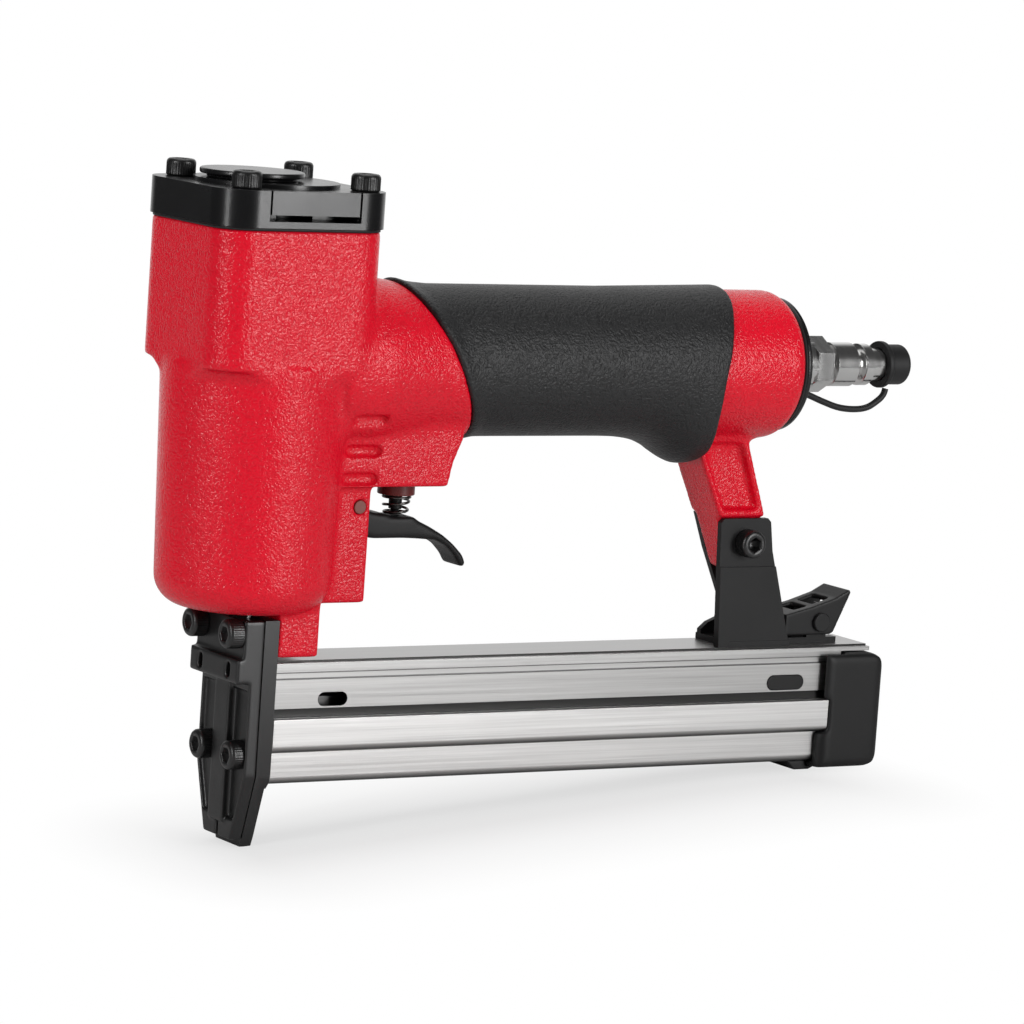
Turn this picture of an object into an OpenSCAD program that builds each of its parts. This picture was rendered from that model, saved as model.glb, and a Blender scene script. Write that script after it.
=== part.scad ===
// Air-driven upholstery stapler, built from the pieces it comes apart into.
// Millimetres. The origin is the nose tip on the drive line, +X runs to the rear and +Z up.

/* [Barrel and head] */
// Barrel radius just above its rounded lower edge
barrel_r = 25.4; // [24.8:0.1:26.4]
// Barrel radius where it meets the head
barrel_top_r = 27.2; // [26.4:0.1:28]
// Height of the barrel's lower face
barrel_z = 69; // [68:0.5:71]
// Rounding of the barrel's lower edge
barrel_edge_r = 9; // [2:0.5:10]
// Height of the step under the head
head_z = 139.5; // [136:0.5:144]
// Height of the bevel under the head's corners
head_bevel_h = 3.2; // [2:0.2:6]
// Height of the head's top face
head_top_z = 179.5; // [178:0.5:184]
// How far the head's flat sides lie inside the barrel's widest radius
head_inset = 1.2; // [0.4:0.1:1.6]
// How much further the head reaches behind the drive line than in front of it
head_back = 1.5; // [1:0.5:4]
// Corner radius of the head in plan
head_corner_r = 10; // [6:0.5:12]
// Radius of the chamber bored into the casting
chamber_r = 21; // [20.6:0.1:21.6]
// Thickness of the chamber's floor
chamber_floor_t = 4.5; // [4:0.5:6]

/* [Cap] */
// Thickness of the cap gasket
gasket_t = 0.8; // [0.5:0.1:1.5]
// Thickness of the cap
cap_t = 10.5; // [9.5:0.5:13]
// How far the cap stands proud of the head all round
cap_lip = 0.8; // [0.2:0.1:1.5]
// Spacing of the cap bolts, both ways
cap_bolt_span = 38.6; // [37.6:0.2:39.4]
// Centre of the cap bolts behind the drive line
cap_bolt_shift = 2; // [0:0.5:2.5]
// Radius of the raised round of the cap
cap_round_r = 21; // [20:0.5:22]
// Height of the raised round
cap_round_h = 1.2; // [0.6:0.2:2]
// Depth of the chamber under the cap
cap_pocket_h = 6.5; // [5.5:0.5:7]
// Radius of the exhaust cover disc
exhaust_disc_r = 15; // [12:0.5:16]
// Thickness of the exhaust cover disc
exhaust_disc_t = 1.6; // [1:0.2:2]
// Undercut below the exhaust cover disc
exhaust_gap = 1; // [0.6:0.2:2]
// Exhaust cover's centre in front of the drive line
exhaust_shift = 4.8; // [2:0.2:6]
// Width of the exhaust flap in the cap's side
flap_w = 29; // [20:1:32]
// Flap's centre behind the drive line
flap_back = 1.4; // [0:0.2:3]
// Height of the exhaust slit under the flap
exhaust_slit_h = 1.8; // [1:0.2:2.4]
// Height of the slit above the cap's lower face
exhaust_slit_z = 1.9; // [1.6:0.1:3]

/* [Bolts] */
// Thread diameter of the bolts
bolt_d = 5; // [4.6:0.1:5.2]
// Diameter of a bolt head
bolt_head_d = 8.5; // [7.5:0.1:9]
// Height of a bolt head
bolt_head_h = 5; // [4:0.5:6]
// Key width of a bolt's socket
bolt_key = 4; // [3:0.5:4.5]
// Depth of a bolt's socket
bolt_key_h = 2.5; // [1.5:0.5:3]

/* [Cylinder and piston] */
// Inside radius of the cylinder sleeve
cylinder_r = 16; // [15.6:0.1:16.4]
// Wall of the cylinder sleeve
sleeve_t = 2.2; // [1.8:0.1:2.4]
// Length of the cylinder sleeve
sleeve_h = 79; // [76:0.5:80]
// Height of the rubber bumper
bumper_h = 11; // [9:0.5:12]
// Height of the piston
piston_h = 12; // [10:0.5:13]
// Working stroke of the piston
stroke = 46; // [44:0.5:47]
// Width of the driver blade
blade_w = 11; // [9:0.2:11.6]
// Thickness of the driver blade
blade_t = 1.2; // [0.8:0.1:1.6]
// Radius of the pin that holds the blade in the piston
driver_pin_r = 1.5; // [1:0.1:2]
// Length of that pin
driver_pin_h = 14; // [8:1:20]
// Height of the head valve's disc
head_valve_h = 10; // [8:0.5:11]
// Lift of the head valve
head_valve_lift = 4; // [2:0.5:5]
// Wire diameter of the head valve spring
head_wire_d = 1.2; // [0.8:0.1:1.6]

/* [Handle] */
// Height of the handle's axis
handle_z = 140; // [139:0.5:142]
// Radius of the red handle
handle_r = 22.4; // [21.6:0.1:23.2]
// Radius of the handle under the grip
core_r = 19.4; // [18.6:0.1:20]
// Radius of the air space in the handle
reservoir_r = 16.4; // [14:0.2:16.6]
// Rear end of the handle
handle_end_x = 178.5; // [176:0.5:182]
// Radius of the handle where it leaves the head
root_r = 25.4; // [24:0.2:26]
// Radius of the grip
grip_r = 22.3; // [21.8:0.1:23]
// Height of the grip's axis above the handle's
grip_lift = 0.6; // [0:0.1:1]
// Radius of the grip's underside where it runs down over the leg
beak_r = 17; // [15:0.5:19]

/* [Trigger] */
// Distance of the trigger pin behind the drive line
trigger_x = 31.5; // [31:0.2:32]
// Height of the trigger pin
trigger_z = 99; // [98.4:0.2:99.6]
// Radius of the trigger pin
trigger_pin_r = 2; // [1.5:0.1:2.4]
// Half width of the trigger
trigger_half = 5.6; // [4.6:0.2:6]
// Half width of the boss that carries the trigger
boss_half = 11; // [9:0.5:12]
// Rear face of that boss
boss_x = 35; // [34:0.5:36.5]
// Height of the boss's lower face
boss_z = 71; // [70:0.5:74]
// Half width of the trigger housing
housing_half = 15; // [13:0.5:16]
// Height of the housing's lower face
housing_z = 105.2; // [104.6:0.2:106.2]
// Distance of the valve stem behind the trigger pin
stem_back = 18.2; // [17.6:0.1:18.8]
// Radius of the valve stem
stem_r = 1.95; // [1.6:0.05:2.2]
// Radius of the trigger valve body
valve_r = 6.95; // [6.4:0.05:7.4]
// Radius of the valve's lower collar
valve_collar_r = 5.5; // [4.8:0.1:6]
// Height of the valve's lower collar
valve_collar_h = 4; // [3:0.2:4.6]
// Wire diameter of the trigger spring
trigger_wire_d = 0.8; // [0.5:0.05:1]

/* [Nose] */
// Half width of the nose plates
nose_half = 14.2; // [13.6:0.1:15]
// Half width of the nose at its tip
tip_half = 7; // [6.6:0.1:9]
// Rear face of the nose
nose_rear_x = 5.4; // [4.8:0.2:6]
// Thickness of the front plate round its upper bolts
front_plate_t = 5; // [4:0.1:5.4]
// Thickness of the front plate's flats lower down
front_flat_t = 2.5; // [2:0.1:3]
// Gap between the nose and the barrel
nose_gap = 2; // [1:0.1:3]
// Height of the upper nose bolts
nose_bolt_upper_z = 63; // [62.4:0.1:63.2]
// Half spacing of the upper nose bolts
nose_bolt_upper_y = 10.8; // [9.6:0.1:10.9]
// Height of the lower nose bolts
nose_bolt_lower_z = 27.5; // [26:0.5:30]
// Half spacing of the lower nose bolts
nose_bolt_lower_y = 9.1; // [8.8:0.1:9.2]
// Depth of the casting's neck behind the nose
neck_t = 13.5; // [13:0.5:17]
// Gap between the neck and the magazine
neck_gap = 1.6; // [1:0.2:2.4]

/* [Magazine] */
// Thickness of the rail's top plate
rail_top_t = 1.8; // [1.4:0.1:2]
// Half width of the rail
rail_half = 10.9; // [10.6:0.1:11.2]
// Sheet thickness of the magazine
sheet_t = 1.2; // [1:0.1:1.4]
// Reach of the rail's top plate past the end cap's front face
rail_lip = 18.6; // [14:0.2:20]
// Height of the magazine's lower face
magazine_z = 18.4; // [17.6:0.2:19.4]
// Height of the magazine below its middle step
lower_h = 9.6; // [9:0.2:10.4]
// Height of the middle step
step_h = 10; // [9.4:0.2:10.6]
// Height of the magazine above the middle step
upper_h = 16.4; // [16:0.2:17]
// Half width of the lower part of the magazine
lower_half = 10.4; // [10:0.1:10.8]
// Clearance between sliding pieces
slide_gap = 0.3; // [0.2:0.05:0.4]
// Length of the pusher
pusher_l = 16; // [12:1:20]
// Half width of the staple core
core_half = 4.6; // [4:0.1:4.8]
// Drop from the rail's top plate to the staple core
core_drop = 9.6; // [9.2:0.2:10.6]
// Wire diameter of the pusher spring
pusher_wire_d = 0.7; // [0.5:0.05:0.9]
// Radius of the rod inside the pusher spring
rod_r = 1.4; // [1:0.1:1.5]
// How far the end cap reaches in front of the latch pin
end_cap_lap = 2.1; // [1.6:0.1:2.6]
// Length of the end cap
end_cap_l = 23.1; // [22:0.5:26]
// Half width of the end cap
end_cap_half = 14.4; // [14.2:0.1:15]
// Drop of the end cap below the magazine
end_cap_drop = 1.7; // [1.4:0.1:2.2]
// Drop of the rear foot below the magazine
foot_drop = 3; // [2.6:0.1:4]

/* [Bracket and latch] */
// Half gap between the bracket's ears
ear_gap_half = 6.5; // [6:0.1:7]
// Thickness of the bracket's ears
ear_t = 2; // [1.5:0.1:2.2]
// Thickness of the bracket's base
base_t = 1.8; // [1.4:0.1:2]
// Distance of the bracket bolt in front of the handle's end
bracket_bolt_back = 9; // [8.4:0.2:9.6]
// Height of the bracket bolt above the magazine
bracket_bolt_rise = 32; // [31:0.2:32.6]
// Distance of the latch pin behind the bracket bolt
latch_back = 31; // [30:0.2:33]
// Height of the latch pin above the magazine
latch_rise = 6.7; // [6.4:0.1:7.2]
// Radius of the latch pin
latch_pin_r = 2; // [1.5:0.1:2.2]
// Half width of the latch lever
latch_half = 7; // [6.8:0.1:7.6]
// Sheet thickness of the latch lever
latch_t = 1.4; // [1:0.1:1.5]
// Wire diameter of the latch spring
latch_wire_d = 0.7; // [0.5:0.05:0.8]

/* [Air inlet] */
// Thickness of the inlet gasket
inlet_gasket_t = 0.8; // [0.5:0.1:1.2]
// Thickness of the inlet cap's flange
inlet_cap_t = 1.6; // [1.2:0.2:3]
// Radius of the inlet cap's flange
inlet_r = 20.3; // [19:0.1:21]
// Radius of the inlet cap's spigot in the handle
inlet_spigot_r = 16.9; // [16.2:0.1:17.2]
// Length of that spigot
inlet_spigot_l = 11; // [8:1:14]
// Radius of the plug's threaded shank
plug_thread_r = 6.4; // [5.8:0.1:6.8]
// Key width of the plug's hexagon
plug_hex = 15; // [14:0.5:16]
// Length of the plug's hexagon
plug_hex_l = 6; // [5:0.5:8]
// Radius of the plug's body
plug_body_r = 6.75; // [6.4:0.05:7]
// Radius of the plug's ring
plug_ring_r = 6.4; // [6:0.1:6.8]
// Radius of the plug's groove
plug_groove_r = 4.7; // [4.3:0.1:5]
// Radius of the plug's tip
plug_tip_r = 5; // [4.8:0.1:5.4]
// Radius of the plug's air passage
plug_bore_r = 3; // [2:0.1:3.4]
// Length of the plug behind its hexagon
plug_l = 28.2; // [27:0.2:31]
// How far the dust cap covers the plug's tip
dust_cover = 6.7; // [5.5:0.1:8]
// Radius of the dust cap
dust_r = 6.2; // [6:0.1:6.6]
// Radius of the dust cap's flange
dust_flange_r = 7.2; // [6.9:0.1:8]
// Thickness of the dust cap's closed end
dust_end_t = 2; // [1.5:0.5:4]
// Width of the tether ring on the plug
tether_ring_t = 2.6; // [2:0.1:3]
// Diameter of the tether
tether_d = 2; // [1.6:0.1:2.2]

/* [Hidden] */
$fn = 48;

// Fits
press_gap = 0.05;
run_gap = 0.05;
seal_gap = 0.1;
over = 1;

// A list of [x, z] points moved to stand about one point
function placed(points, x, z) = [for (p = points) [x + p[0], z + p[1]]];

// Head, and heights up the barrel
head_half = barrel_top_r - head_inset;
head_front = head_half;
head_rear = head_front + head_back;
floor_z = barrel_z + chamber_floor_t;
sleeve_top_z = floor_z + sleeve_h;
stop_gap = 0.5;
piston_z = floor_z + bumper_h + stop_gap + stroke;
tip_gap = 1;
blade_tip_z = tip_gap + stroke;
blade_seat_h = 7;
seal_lift = 0.2;
head_seal_t = 2;
head_valve_z = sleeve_top_z + seal_lift + head_seal_t / 2;
head_valve_top_z = head_valve_z + head_valve_h;
cap_z = head_top_z + gasket_t;
cap_top_z = cap_z + cap_t;
cap_ceiling_z = cap_z + cap_pocket_h;
guide_r = 8;
guide_wall = 2.5;
guide_bore_r = 5.5;
guide_h = 12;
guide_stem_h = cap_ceiling_z - head_valve_lift - stop_gap - head_valve_top_z;
ring_r = 1;
low_seal_h = 25;
high_seal_drop = 9;
seal_land_h = 6;
piston_land_h = 1.6;
ring_slot_h = 2.6;
blade_hole_r = blade_w / 2 + 1.1;

// Bolts
bolt_r = bolt_d / 2;
thread_gap = 0.1;
clear_hole_r = bolt_r + 0.25;
cap_bolt_xy = [for (i = [-1, 1], j = [-1, 1]) [cap_bolt_shift + i * cap_bolt_span / 2,
    j * cap_bolt_span / 2]];
cap_bolt_grip = 20;

// Magazine heights, from the bottom up
step_z = magazine_z + lower_h;
step_top_z = step_z + step_h;
rail_top_z = step_top_z + upper_h;
rail_under_z = rail_top_z - rail_top_t;

// Leg behind the grip, and the bolt that holds it in the bracket
bracket_bolt_x = handle_end_x - bracket_bolt_back;
bracket_bolt_z = rail_top_z + bracket_bolt_rise;
leg_top_z = handle_z - 18;
leg_line_z = handle_z - 24;
leg_front_reach = 26.45;
leg_rear_reach = 9.8;
leg_slope = 0.352;
leg_shoulder_z = bracket_bolt_z + 7.8;
leg_end_z = bracket_bolt_z - 11.4;
leg_heel_z = bracket_bolt_z - 5.4;
leg_toe = 6;
leg_toe_h = 3;
leg_shoulder = 1.7;
leg_half = ear_gap_half + leg_shoulder;
leg_tongue_half = ear_gap_half - press_gap;
leg_pocket_rim = 2.2;
leg_pocket_depth = 3;
leg_lean = 0.11;
function leg_front_x(z) = handle_end_x - leg_front_reach + (leg_line_z - z) * leg_slope;
function leg_face_x(z) = leg_front_x(z) - (z - leg_shoulder_z) * leg_lean;
function leg_rear_x(z) = handle_end_x - leg_rear_reach + (leg_line_z - z) * leg_slope;

// Grip outline, seen from the side
grip_front = [[40, 170], [43, 164.6], [47.5, 157], [53, 147.3], [57.6, 137.4], [62.5, 128], [66.5, 120],
    [67.5, 112],
    [120, 112]];
beak = placed([[-53.5, -22.8], [-48.5, -23.9], [-42, -25.5], [-36.5, -28.2], [-31.5, -29.3],
    [-27.1, -28.3]],
    handle_end_x, handle_z);
grip_rear = placed([[-27.1, -26], [-28.9, -21], [-31.3, -13], [-31.1, -3], [-29.5, 6], [-26.5, 15],
    [-21.5, 23.5],
    [-18.5, 30]], handle_end_x, handle_z);
beak_z = min([for (p = beak) p[1]]);
beak_top = [[handle_end_x - 26.5, handle_z - 26], [handle_end_x - 26.5, handle_z],
    [handle_end_x - 53.5, handle_z]];
root_x = 18;
root_end_x = 52;
root_flat = 4;
end_round_r = 4;

// Trigger housing, seen from the side
housing_front_x = 20;
housing_rear_x = 58.3;
housing_slope_x = 63;
housing_outline = [[housing_front_x, housing_z], [housing_rear_x, housing_z],
    [housing_rear_x + 1.4, housing_z + 7],
    [housing_slope_x, housing_z + 15], [housing_slope_x - 3, handle_z], [housing_front_x, handle_z]];

// Trigger
hub_r = 4.6;
pad_drop = 3.8;
pad_z = trigger_z - pad_drop;
stem_x = trigger_x + stem_back;
lever = placed([[0, 3], [7.5, -2.4], [13.1, -3], [14.1, -pad_drop], [22.1, -pad_drop], [23.5, -5],
    [27.7, -6.8],
    [32.5, -9.4], [36.1, -12], [39.3, -15], [40.8, -17.8], [40.1, -19], [38.7, -19], [37, -16],
        [34, -13], [30, -11],
    [25.1, -10.6], [18.5, -10.2], [8.1, -10.2], [1.5, -8.6], [-3, -3]], trigger_x, trigger_z);
slot_side_gap = 0.4;
slot_front_x = trigger_x - hub_r - 0.8;
valve_z = housing_z;
valve_h = 19;
valve_collar_z = valve_z - valve_collar_h;
stem_bottom_z = pad_z + 0.3;
stem_tip_r = 1.2;
stem_tip_h = 1.4;
stem_head_r = 3.6;
stem_head_h = 3;
stem_head_z = valve_z + 9.8;
valve_chamber_r = 4.4;
valve_chamber_z = stem_head_z - 1.5;
vent_floor = housing_half - 1.8;
vents = [[21.6, vent_floor + 5, 125.2], [23, vent_floor, 115.8], [22.4, vent_floor, 107.7]];
vent_l = 12;
vent_h = 3.4;
slot_drop = 14;
valve_ring_r = 0.85;
valve_slot_h = 2.2;
valve_slot_depth = 1.9;
valve_seal_z = [valve_z + 3.6, valve_z + 15.4];
coil_gap = 1;
coil_flare = 0.7;

// Nose
blade_gap = 0.15;
blade_face_x = -blade_t / 2 - blade_gap;
split_x = -blade_face_x;
blade_half = blade_w / 2 + blade_gap;
nose_top_z = barrel_z - nose_gap;
tip_taper_z = 21.8;
tip_chamfer_z = 3;
tip_chamfer = 1.2;
front_tip_z = 2.2;
tip_slit_half = 0.5;
tip_slit_z = 7;
shoulder_z = [48.7, 55.8];
shoulder_extra = 1.8;
rib_half = 4.2;
rib_extra = 1;
pocket_floor_t = 1.2;
pocket_wall = 1.2;
seat_gap = 0.25;
pocket_z = [tip_slit_z + 1.5, shoulder_z[0] - 2.2];
pocket_tip_half = tip_half + tip_chamfer + (nose_half - tip_half - tip_chamfer)
    * (pocket_z[0] - tip_chamfer_z) / (tip_taper_z - tip_chamfer_z);
rear_relief_x = 4.4;
rear_relief_z = 18;
neck_half = nose_half;
neck_z = rail_top_z + neck_gap;
neck_rear_x = nose_rear_x + neck_t;
boss_hole_r = 1.2;
boss_hole_h = 2;
boss_hole_depth = 3;
boss_hole_y = 8.2;

// Magazine cross section
rail_in = rail_half - sheet_t;
rib_out = rail_half + 1.4;
lip_z = step_top_z - sheet_t;
rib_top_z = lip_z - slide_gap;
rib_bottom_z = step_z + sheet_t + slide_gap;
step_in = rib_out + slide_gap;
step_half = step_in + sheet_t;
lower_in = lower_half - sheet_t;
latch_x = bracket_bolt_x + latch_back;
latch_z = rail_top_z + latch_rise;
end_cap_x = latch_x - end_cap_lap;
end_cap_rear_x = end_cap_x + end_cap_l;
end_cap_z = magazine_z - end_cap_drop;
foot_z = magazine_z - foot_drop;
rail_end_x = end_cap_x + rail_lip;
rail_wall_end_x = end_cap_x + 8;
channel_end_x = end_cap_x + 6;
step_end_x = end_cap_x + 2.7;
cap_solid_x = rail_wall_end_x + 0.6;
core_top_z = rail_under_z - core_drop;
channel_x = nose_rear_x + slide_gap;
groove_z = [rail_top_z - 5.3, rail_top_z - 3.2];
groove_t = 0.6;
gap_groove_z = [step_top_z, step_top_z + 2.6];
gap_groove_t = 0.8;
top_step = [2, 0.5];
window = [21.5, 31.3, rail_top_z - 13.3, rail_top_z - 9.2];
pad_slot = [end_cap_x - 19, end_cap_x - 5.5, rail_top_z - 13.3, rail_top_z - 8.7];
pad_proud = 0.4;
core_wall = 1.2;
pusher_x = channel_x + 3;
pusher_back_x = pusher_x + pusher_l;
spring_z = core_top_z + 3.5;
spring_r = 2.3;
pusher_leg_in = core_half + slide_gap;
pusher_leg_t = 0.8;
pusher_leg_out = pusher_leg_in + pusher_leg_t;
pusher_leg_z = magazine_z + 6.6;
pusher_top_z = spring_z + 2.4;
tongue_half = 4;
tongue_z = rail_under_z - 0.7;
tongue_t = 2.2;
end_cap_top_z = rail_under_z - slide_gap;
end_cap_in = rib_out + slide_gap + 0.1;
end_cap_edge_r = 6;
end_cap_corner_r = 3.5;
end_cap_side_r = 2.2;
foot_x = [end_cap_x - 7.4, end_cap_x + 4.2];
foot_half = 8;
foot_draft = 3;

// Bracket and latch
base_x = [bracket_bolt_x - 4, latch_x + 7.5];
base_half = 9.1;
base_z = rail_top_z;
base_top_z = base_z + base_t;
ear_bend_z = base_z + 24.6;
ear_bend = 0.5;
ear_top_z = leg_shoulder_z - 0.4;
ear_corner_r = 1.2;
ear_front_x = bracket_bolt_x - 9.6;
ear_rear_x = bracket_bolt_x + 8.7;
ear_behind = [[bracket_bolt_x + 10, bracket_bolt_z - 2.6], [bracket_bolt_x + 18.4, base_z]];
near_ear = concat([[ear_front_x, ear_top_z - ear_corner_r], [ear_front_x + ear_corner_r, ear_top_z],
    [ear_rear_x - ear_corner_r, ear_top_z], [ear_rear_x, ear_top_z - ear_corner_r]], ear_behind,
    [[bracket_bolt_x - 7.8, base_z], [bracket_bolt_x - 9.1, ear_bend_z]]);
far_ear = concat([[bracket_bolt_x - 8.6, ear_top_z], [ear_rear_x, ear_top_z]], ear_behind,
    placed([[-4, 0], [-4, 3.1], [-1.5, 5.2], [2, 6.6], [3, 11.6]], bracket_bolt_x, base_z),
    [[bracket_bolt_x - 4.6, bracket_bolt_z - 3.4]]);
latch_roof_t = 1.6;
latch_top = [[-13, 2.5], [-3, 4.8], [5.5, 7.4], [10.3, 9.9]];
latch_outline = placed(concat([[-13, -3.9]], latch_top, [[10.9, 9], [5.2, -3.3],
    [3.9, -3.9]]), latch_x, latch_z);
latch_inside = concat(placed([[-13 - over, -11], [-13 - over, 2.5 - latch_roof_t]], latch_x, latch_z),
    placed([latch_top[1], latch_top[2], [8.5, 8]], latch_x, latch_z - latch_roof_t),
    placed([[11.5, 4.9], [11.5, -11]], latch_x, latch_z));
latch_windows = [[latch_x - 8, latch_x - 3.5], [latch_x - 1.5, latch_x + 4.5]];
latch_window_z = [latch_z + 0.9, latch_z + 14];
latch_window_rim = 1.6;
lug_in = 3.9;
lug_out = latch_half - latch_t - slide_gap;
lug_r = 3.6;
hook_x = [latch_x - 12, latch_x - 9];
hook_half = 3.5;
hook_z = tongue_z + slide_gap;
hook_top_z = latch_z + 2.4;
hook_slot_x = [latch_x - 14.2, latch_x - 7.9];
hook_slot_half = hook_half + 0.8;
latch_spring_x = latch_x + 4.9;
latch_spring_z = latch_z + 5.4;
latch_spring_r = 2.1;
latch_spring_hole_r = latch_spring_r + 0.8;
pin_head_h = 1.2;
pin_head_lip = 0.9;
pin_head_gap = 0.15;

// Air inlet along the handle's axis
inlet_gasket_x = handle_end_x;
inlet_cap_x = inlet_gasket_x + inlet_gasket_t;
inlet_face_x = inlet_cap_x + inlet_cap_t;
plug_neck_r = 6;
plug_neck_l = 7.6;
plug_collar_r = 7.6;
plug_collar_l = 3.5;
plug_collar_x = inlet_face_x + plug_neck_l;
plug_hex_x = plug_collar_x + plug_collar_l;
plug_x = plug_hex_x + plug_hex_l;
plug_end_x = plug_x + plug_l;
plug_thread_l = 12;
// Steps along the plug behind its hexagon: neck, body, groove, ring, tip
plug_steps = [1.6, 2.4, 10.2, 11, 11.4, 12.6, 13, 13.4, 16.4, 17];
plug_waist = 1.4;
plug_edge = 0.8;
dust_x = plug_end_x - dust_cover;
dust_flange_t = 1.9;
dust_fit = 0.05;
dust_room = 0.5;
dust_edge = 1;
dust_end_x = plug_end_x + dust_room + dust_end_t;
tether_ring_x = inlet_face_x + 2;
tether_ring_r = 9;
// Tether route from the ring on the plug to the dust cap: sideways place, then [x, z] points
tether_y = -4;
tether_route = [[186, 131.8], [189, 131.6], [192, 130.8], [197, 129], [203, 127.2], [209, 126.6],
    [214, 127.2],
    [218, 129.4], [219.8, 131.2], [220.4, 133]];

// Colours
red = "#c8122a";
black = "#1d1d1f";
dark = "#2a2a2c";
steel = "#b9b9bb";
nickel = "#d2d2d0";
alloy = "#9a9da1";
rubber = "#18181a";
seal = "#33302c";

// Placing helpers
module along_x(x, y = 0, z = 0) {
    translate([x, y, z]) rotate([0, 90, 0]) children();
}
module along_y(x, y, z) {
    translate([x, y, z]) rotate([-90, 0, 0]) children();
}
// A side outline of [x, z] points, from one y to another
module side_plate(points, y0, y1) {
    translate([0, y1, 0]) rotate([90, 0, 0]) linear_extrude(y1 - y0) polygon(points);
}
// Shapes drawn in [y, z], from one x to another
module cross_section(x0, x1) {
    translate([x0, 0, 0]) rotate([90, 0, 90]) linear_extrude(x1 - x0) children();
}
module block(x, y, z) {
    translate([x[0], y[0], z[0]]) cube([x[1] - x[0], y[1] - y[0], z[1] - z[0]]);
}
module both_sides() {
    children();
    mirror([0, 1, 0]) children();
}
module round_rect(x0, x1, y0, y1, r) {
    translate([x0 + r, y0]) square([x1 - x0 - 2 * r, y1 - y0]);
    translate([x0, y0 + r]) square([x1 - x0, y1 - y0 - 2 * r]);
    for (x = [x0 + r, x1 - r], y = [y0 + r, y1 - r]) translate([x, y]) circle(r);
}
// A slot with round ends through the wall at one side, from one y to another
module round_slot(box, y0, y1, gap = 0) {
    r = (box[3] - box[2]) / 2;
    zc = (box[3] + box[2]) / 2;
    block([box[0] + r, box[1] - r], [y0, y1], [box[2] - gap, box[3] + gap]);
    for (x = [box[0] + r, box[1] - r]) along_y(x, y0, zc) cylinder(r = r + gap, h = y1 - y0);
}
module ring(r, z, minor) {
    translate([0, 0, z]) rotate_extrude() translate([r, 0]) circle(minor);
}
module socket_screw(length) {
    difference() {
        union() {
            cylinder(d = bolt_head_d, h = bolt_head_h);
            translate([0, 0, -length]) cylinder(r = bolt_r - thread_gap, h = length + over);
        }
        translate([0, 0, bolt_head_h - bolt_key_h])
            cylinder(d = bolt_key / cos(30), h = bolt_key_h + over, $fn = 6);
    }
}

// Wound and bent tubes
function unit(v) = v / norm(v);
function coil(r0, r1, h, turns, rings = 8) = [
    for (i = [0 : turns * rings])
        let (t = i / (turns * rings), a = 360 * i / rings, r = r0 + (r1 - r0) * t)
            [r * cos(a), r * sin(a), h * t]
];
function straight_ends(p, d) = let (n = len(p)) concat(
    [p[0] - unit(p[1] - p[0]) * d], p, [p[n - 1] + unit(p[n - 1] - p[n - 2]) * d]);
function least_gap(p, d, apart = 6) = min([
    for (i = [0 : len(p) - 1 - apart], j = [i + apart : len(p) - 1]) norm(p[i] - p[j])]) - d;
function curve_at(a, b, c, d, t) = 0.5 * (2 * b + (c - a) * t + (2 * a - 5 * b + 4 * c - d) * t * t
    + (3 * b - a - 3 * c + d) * t * t * t);
function smooth_route(p, steps) = let (n = len(p)) concat(
    [for (i = [0 : n - 2], k = [0 : steps - 1])
        curve_at(p[max(i - 1, 0)], p[i], p[i + 1], p[min(i + 2, n - 1)], k / steps)], [p[n - 1]]);
module tube(p, r, sides, side_of) {
    n = len(p);
    rim = [for (i = [0 : n - 1])
        let (t = unit(p[min(i + 1, n - 1)] - p[max(i - 1, 0)]), s = unit(cross(side_of, t)), b = cross(t,
            s))
            for (k = [0 : sides - 1]) p[i] + r * (cos(360 * k / sides) * s + sin(360 * k / sides) * b)];
    skin = [for (i = [0 : n - 2], k = [0 : sides - 1])
        let (a = i * sides + k, b = i * sides + (k + 1) % sides)
            each [[a, a + sides, b], [b, a + sides, b + sides]]];
    first = [for (k = [1 : sides - 2]) [0, k, k + 1]];
    last = [for (k = [1 : sides - 2]) let (q = (n - 1) * sides) [q, q + k + 1, q + k]];
    polyhedron(points = rim, faces = concat(skin, first, last), convexity = 6);
}

// Casting
module head_plan(grow = 0) {
    round_rect(-head_front - grow, head_rear + grow, -head_half - grow, head_half + grow,
        head_corner_r + grow);
}
module barrel_solid() {
    rotate_extrude() {
        polygon([[0, barrel_z], [barrel_r - barrel_edge_r, barrel_z],
            [barrel_r - barrel_edge_r, barrel_z + barrel_edge_r],
            [barrel_r, barrel_z + barrel_edge_r], [barrel_top_r, head_z + over], [0, head_z + over]]);
        translate([barrel_r - barrel_edge_r, barrel_z + barrel_edge_r]) intersection() {
            circle(barrel_edge_r);
            translate([0, -barrel_edge_r]) square(barrel_edge_r);
        }
    }
}
module head_solid() {
    translate([0, 0, head_z]) linear_extrude(head_top_z - head_z) head_plan();
    intersection() {
        translate([0, 0, head_z - head_bevel_h]) linear_extrude(head_bevel_h + over) head_plan();
        translate([0, 0, head_z - head_bevel_h])
            cylinder(r1 = barrel_top_r - press_gap, r2 = head_half + head_bevel_h + over,
                h = head_bevel_h + over);
    }
}
module handle_solid() {
    along_x(0, 0, handle_z) rotate_extrude() {
        polygon([[0, root_x], [root_r, root_x], [root_r, head_rear + root_flat], [handle_r, root_end_x],
            [handle_r, handle_end_x - end_round_r], [handle_r - end_round_r, handle_end_x - end_round_r],
            [handle_r - end_round_r, handle_end_x], [0, handle_end_x]]);
        translate([handle_r - end_round_r, handle_end_x - end_round_r]) intersection() {
            circle(end_round_r);
            square(end_round_r);
        }
    }
}
module grip_zone(half) {
    side_plate(concat(grip_front, beak, grip_rear), -half, half);
}
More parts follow.
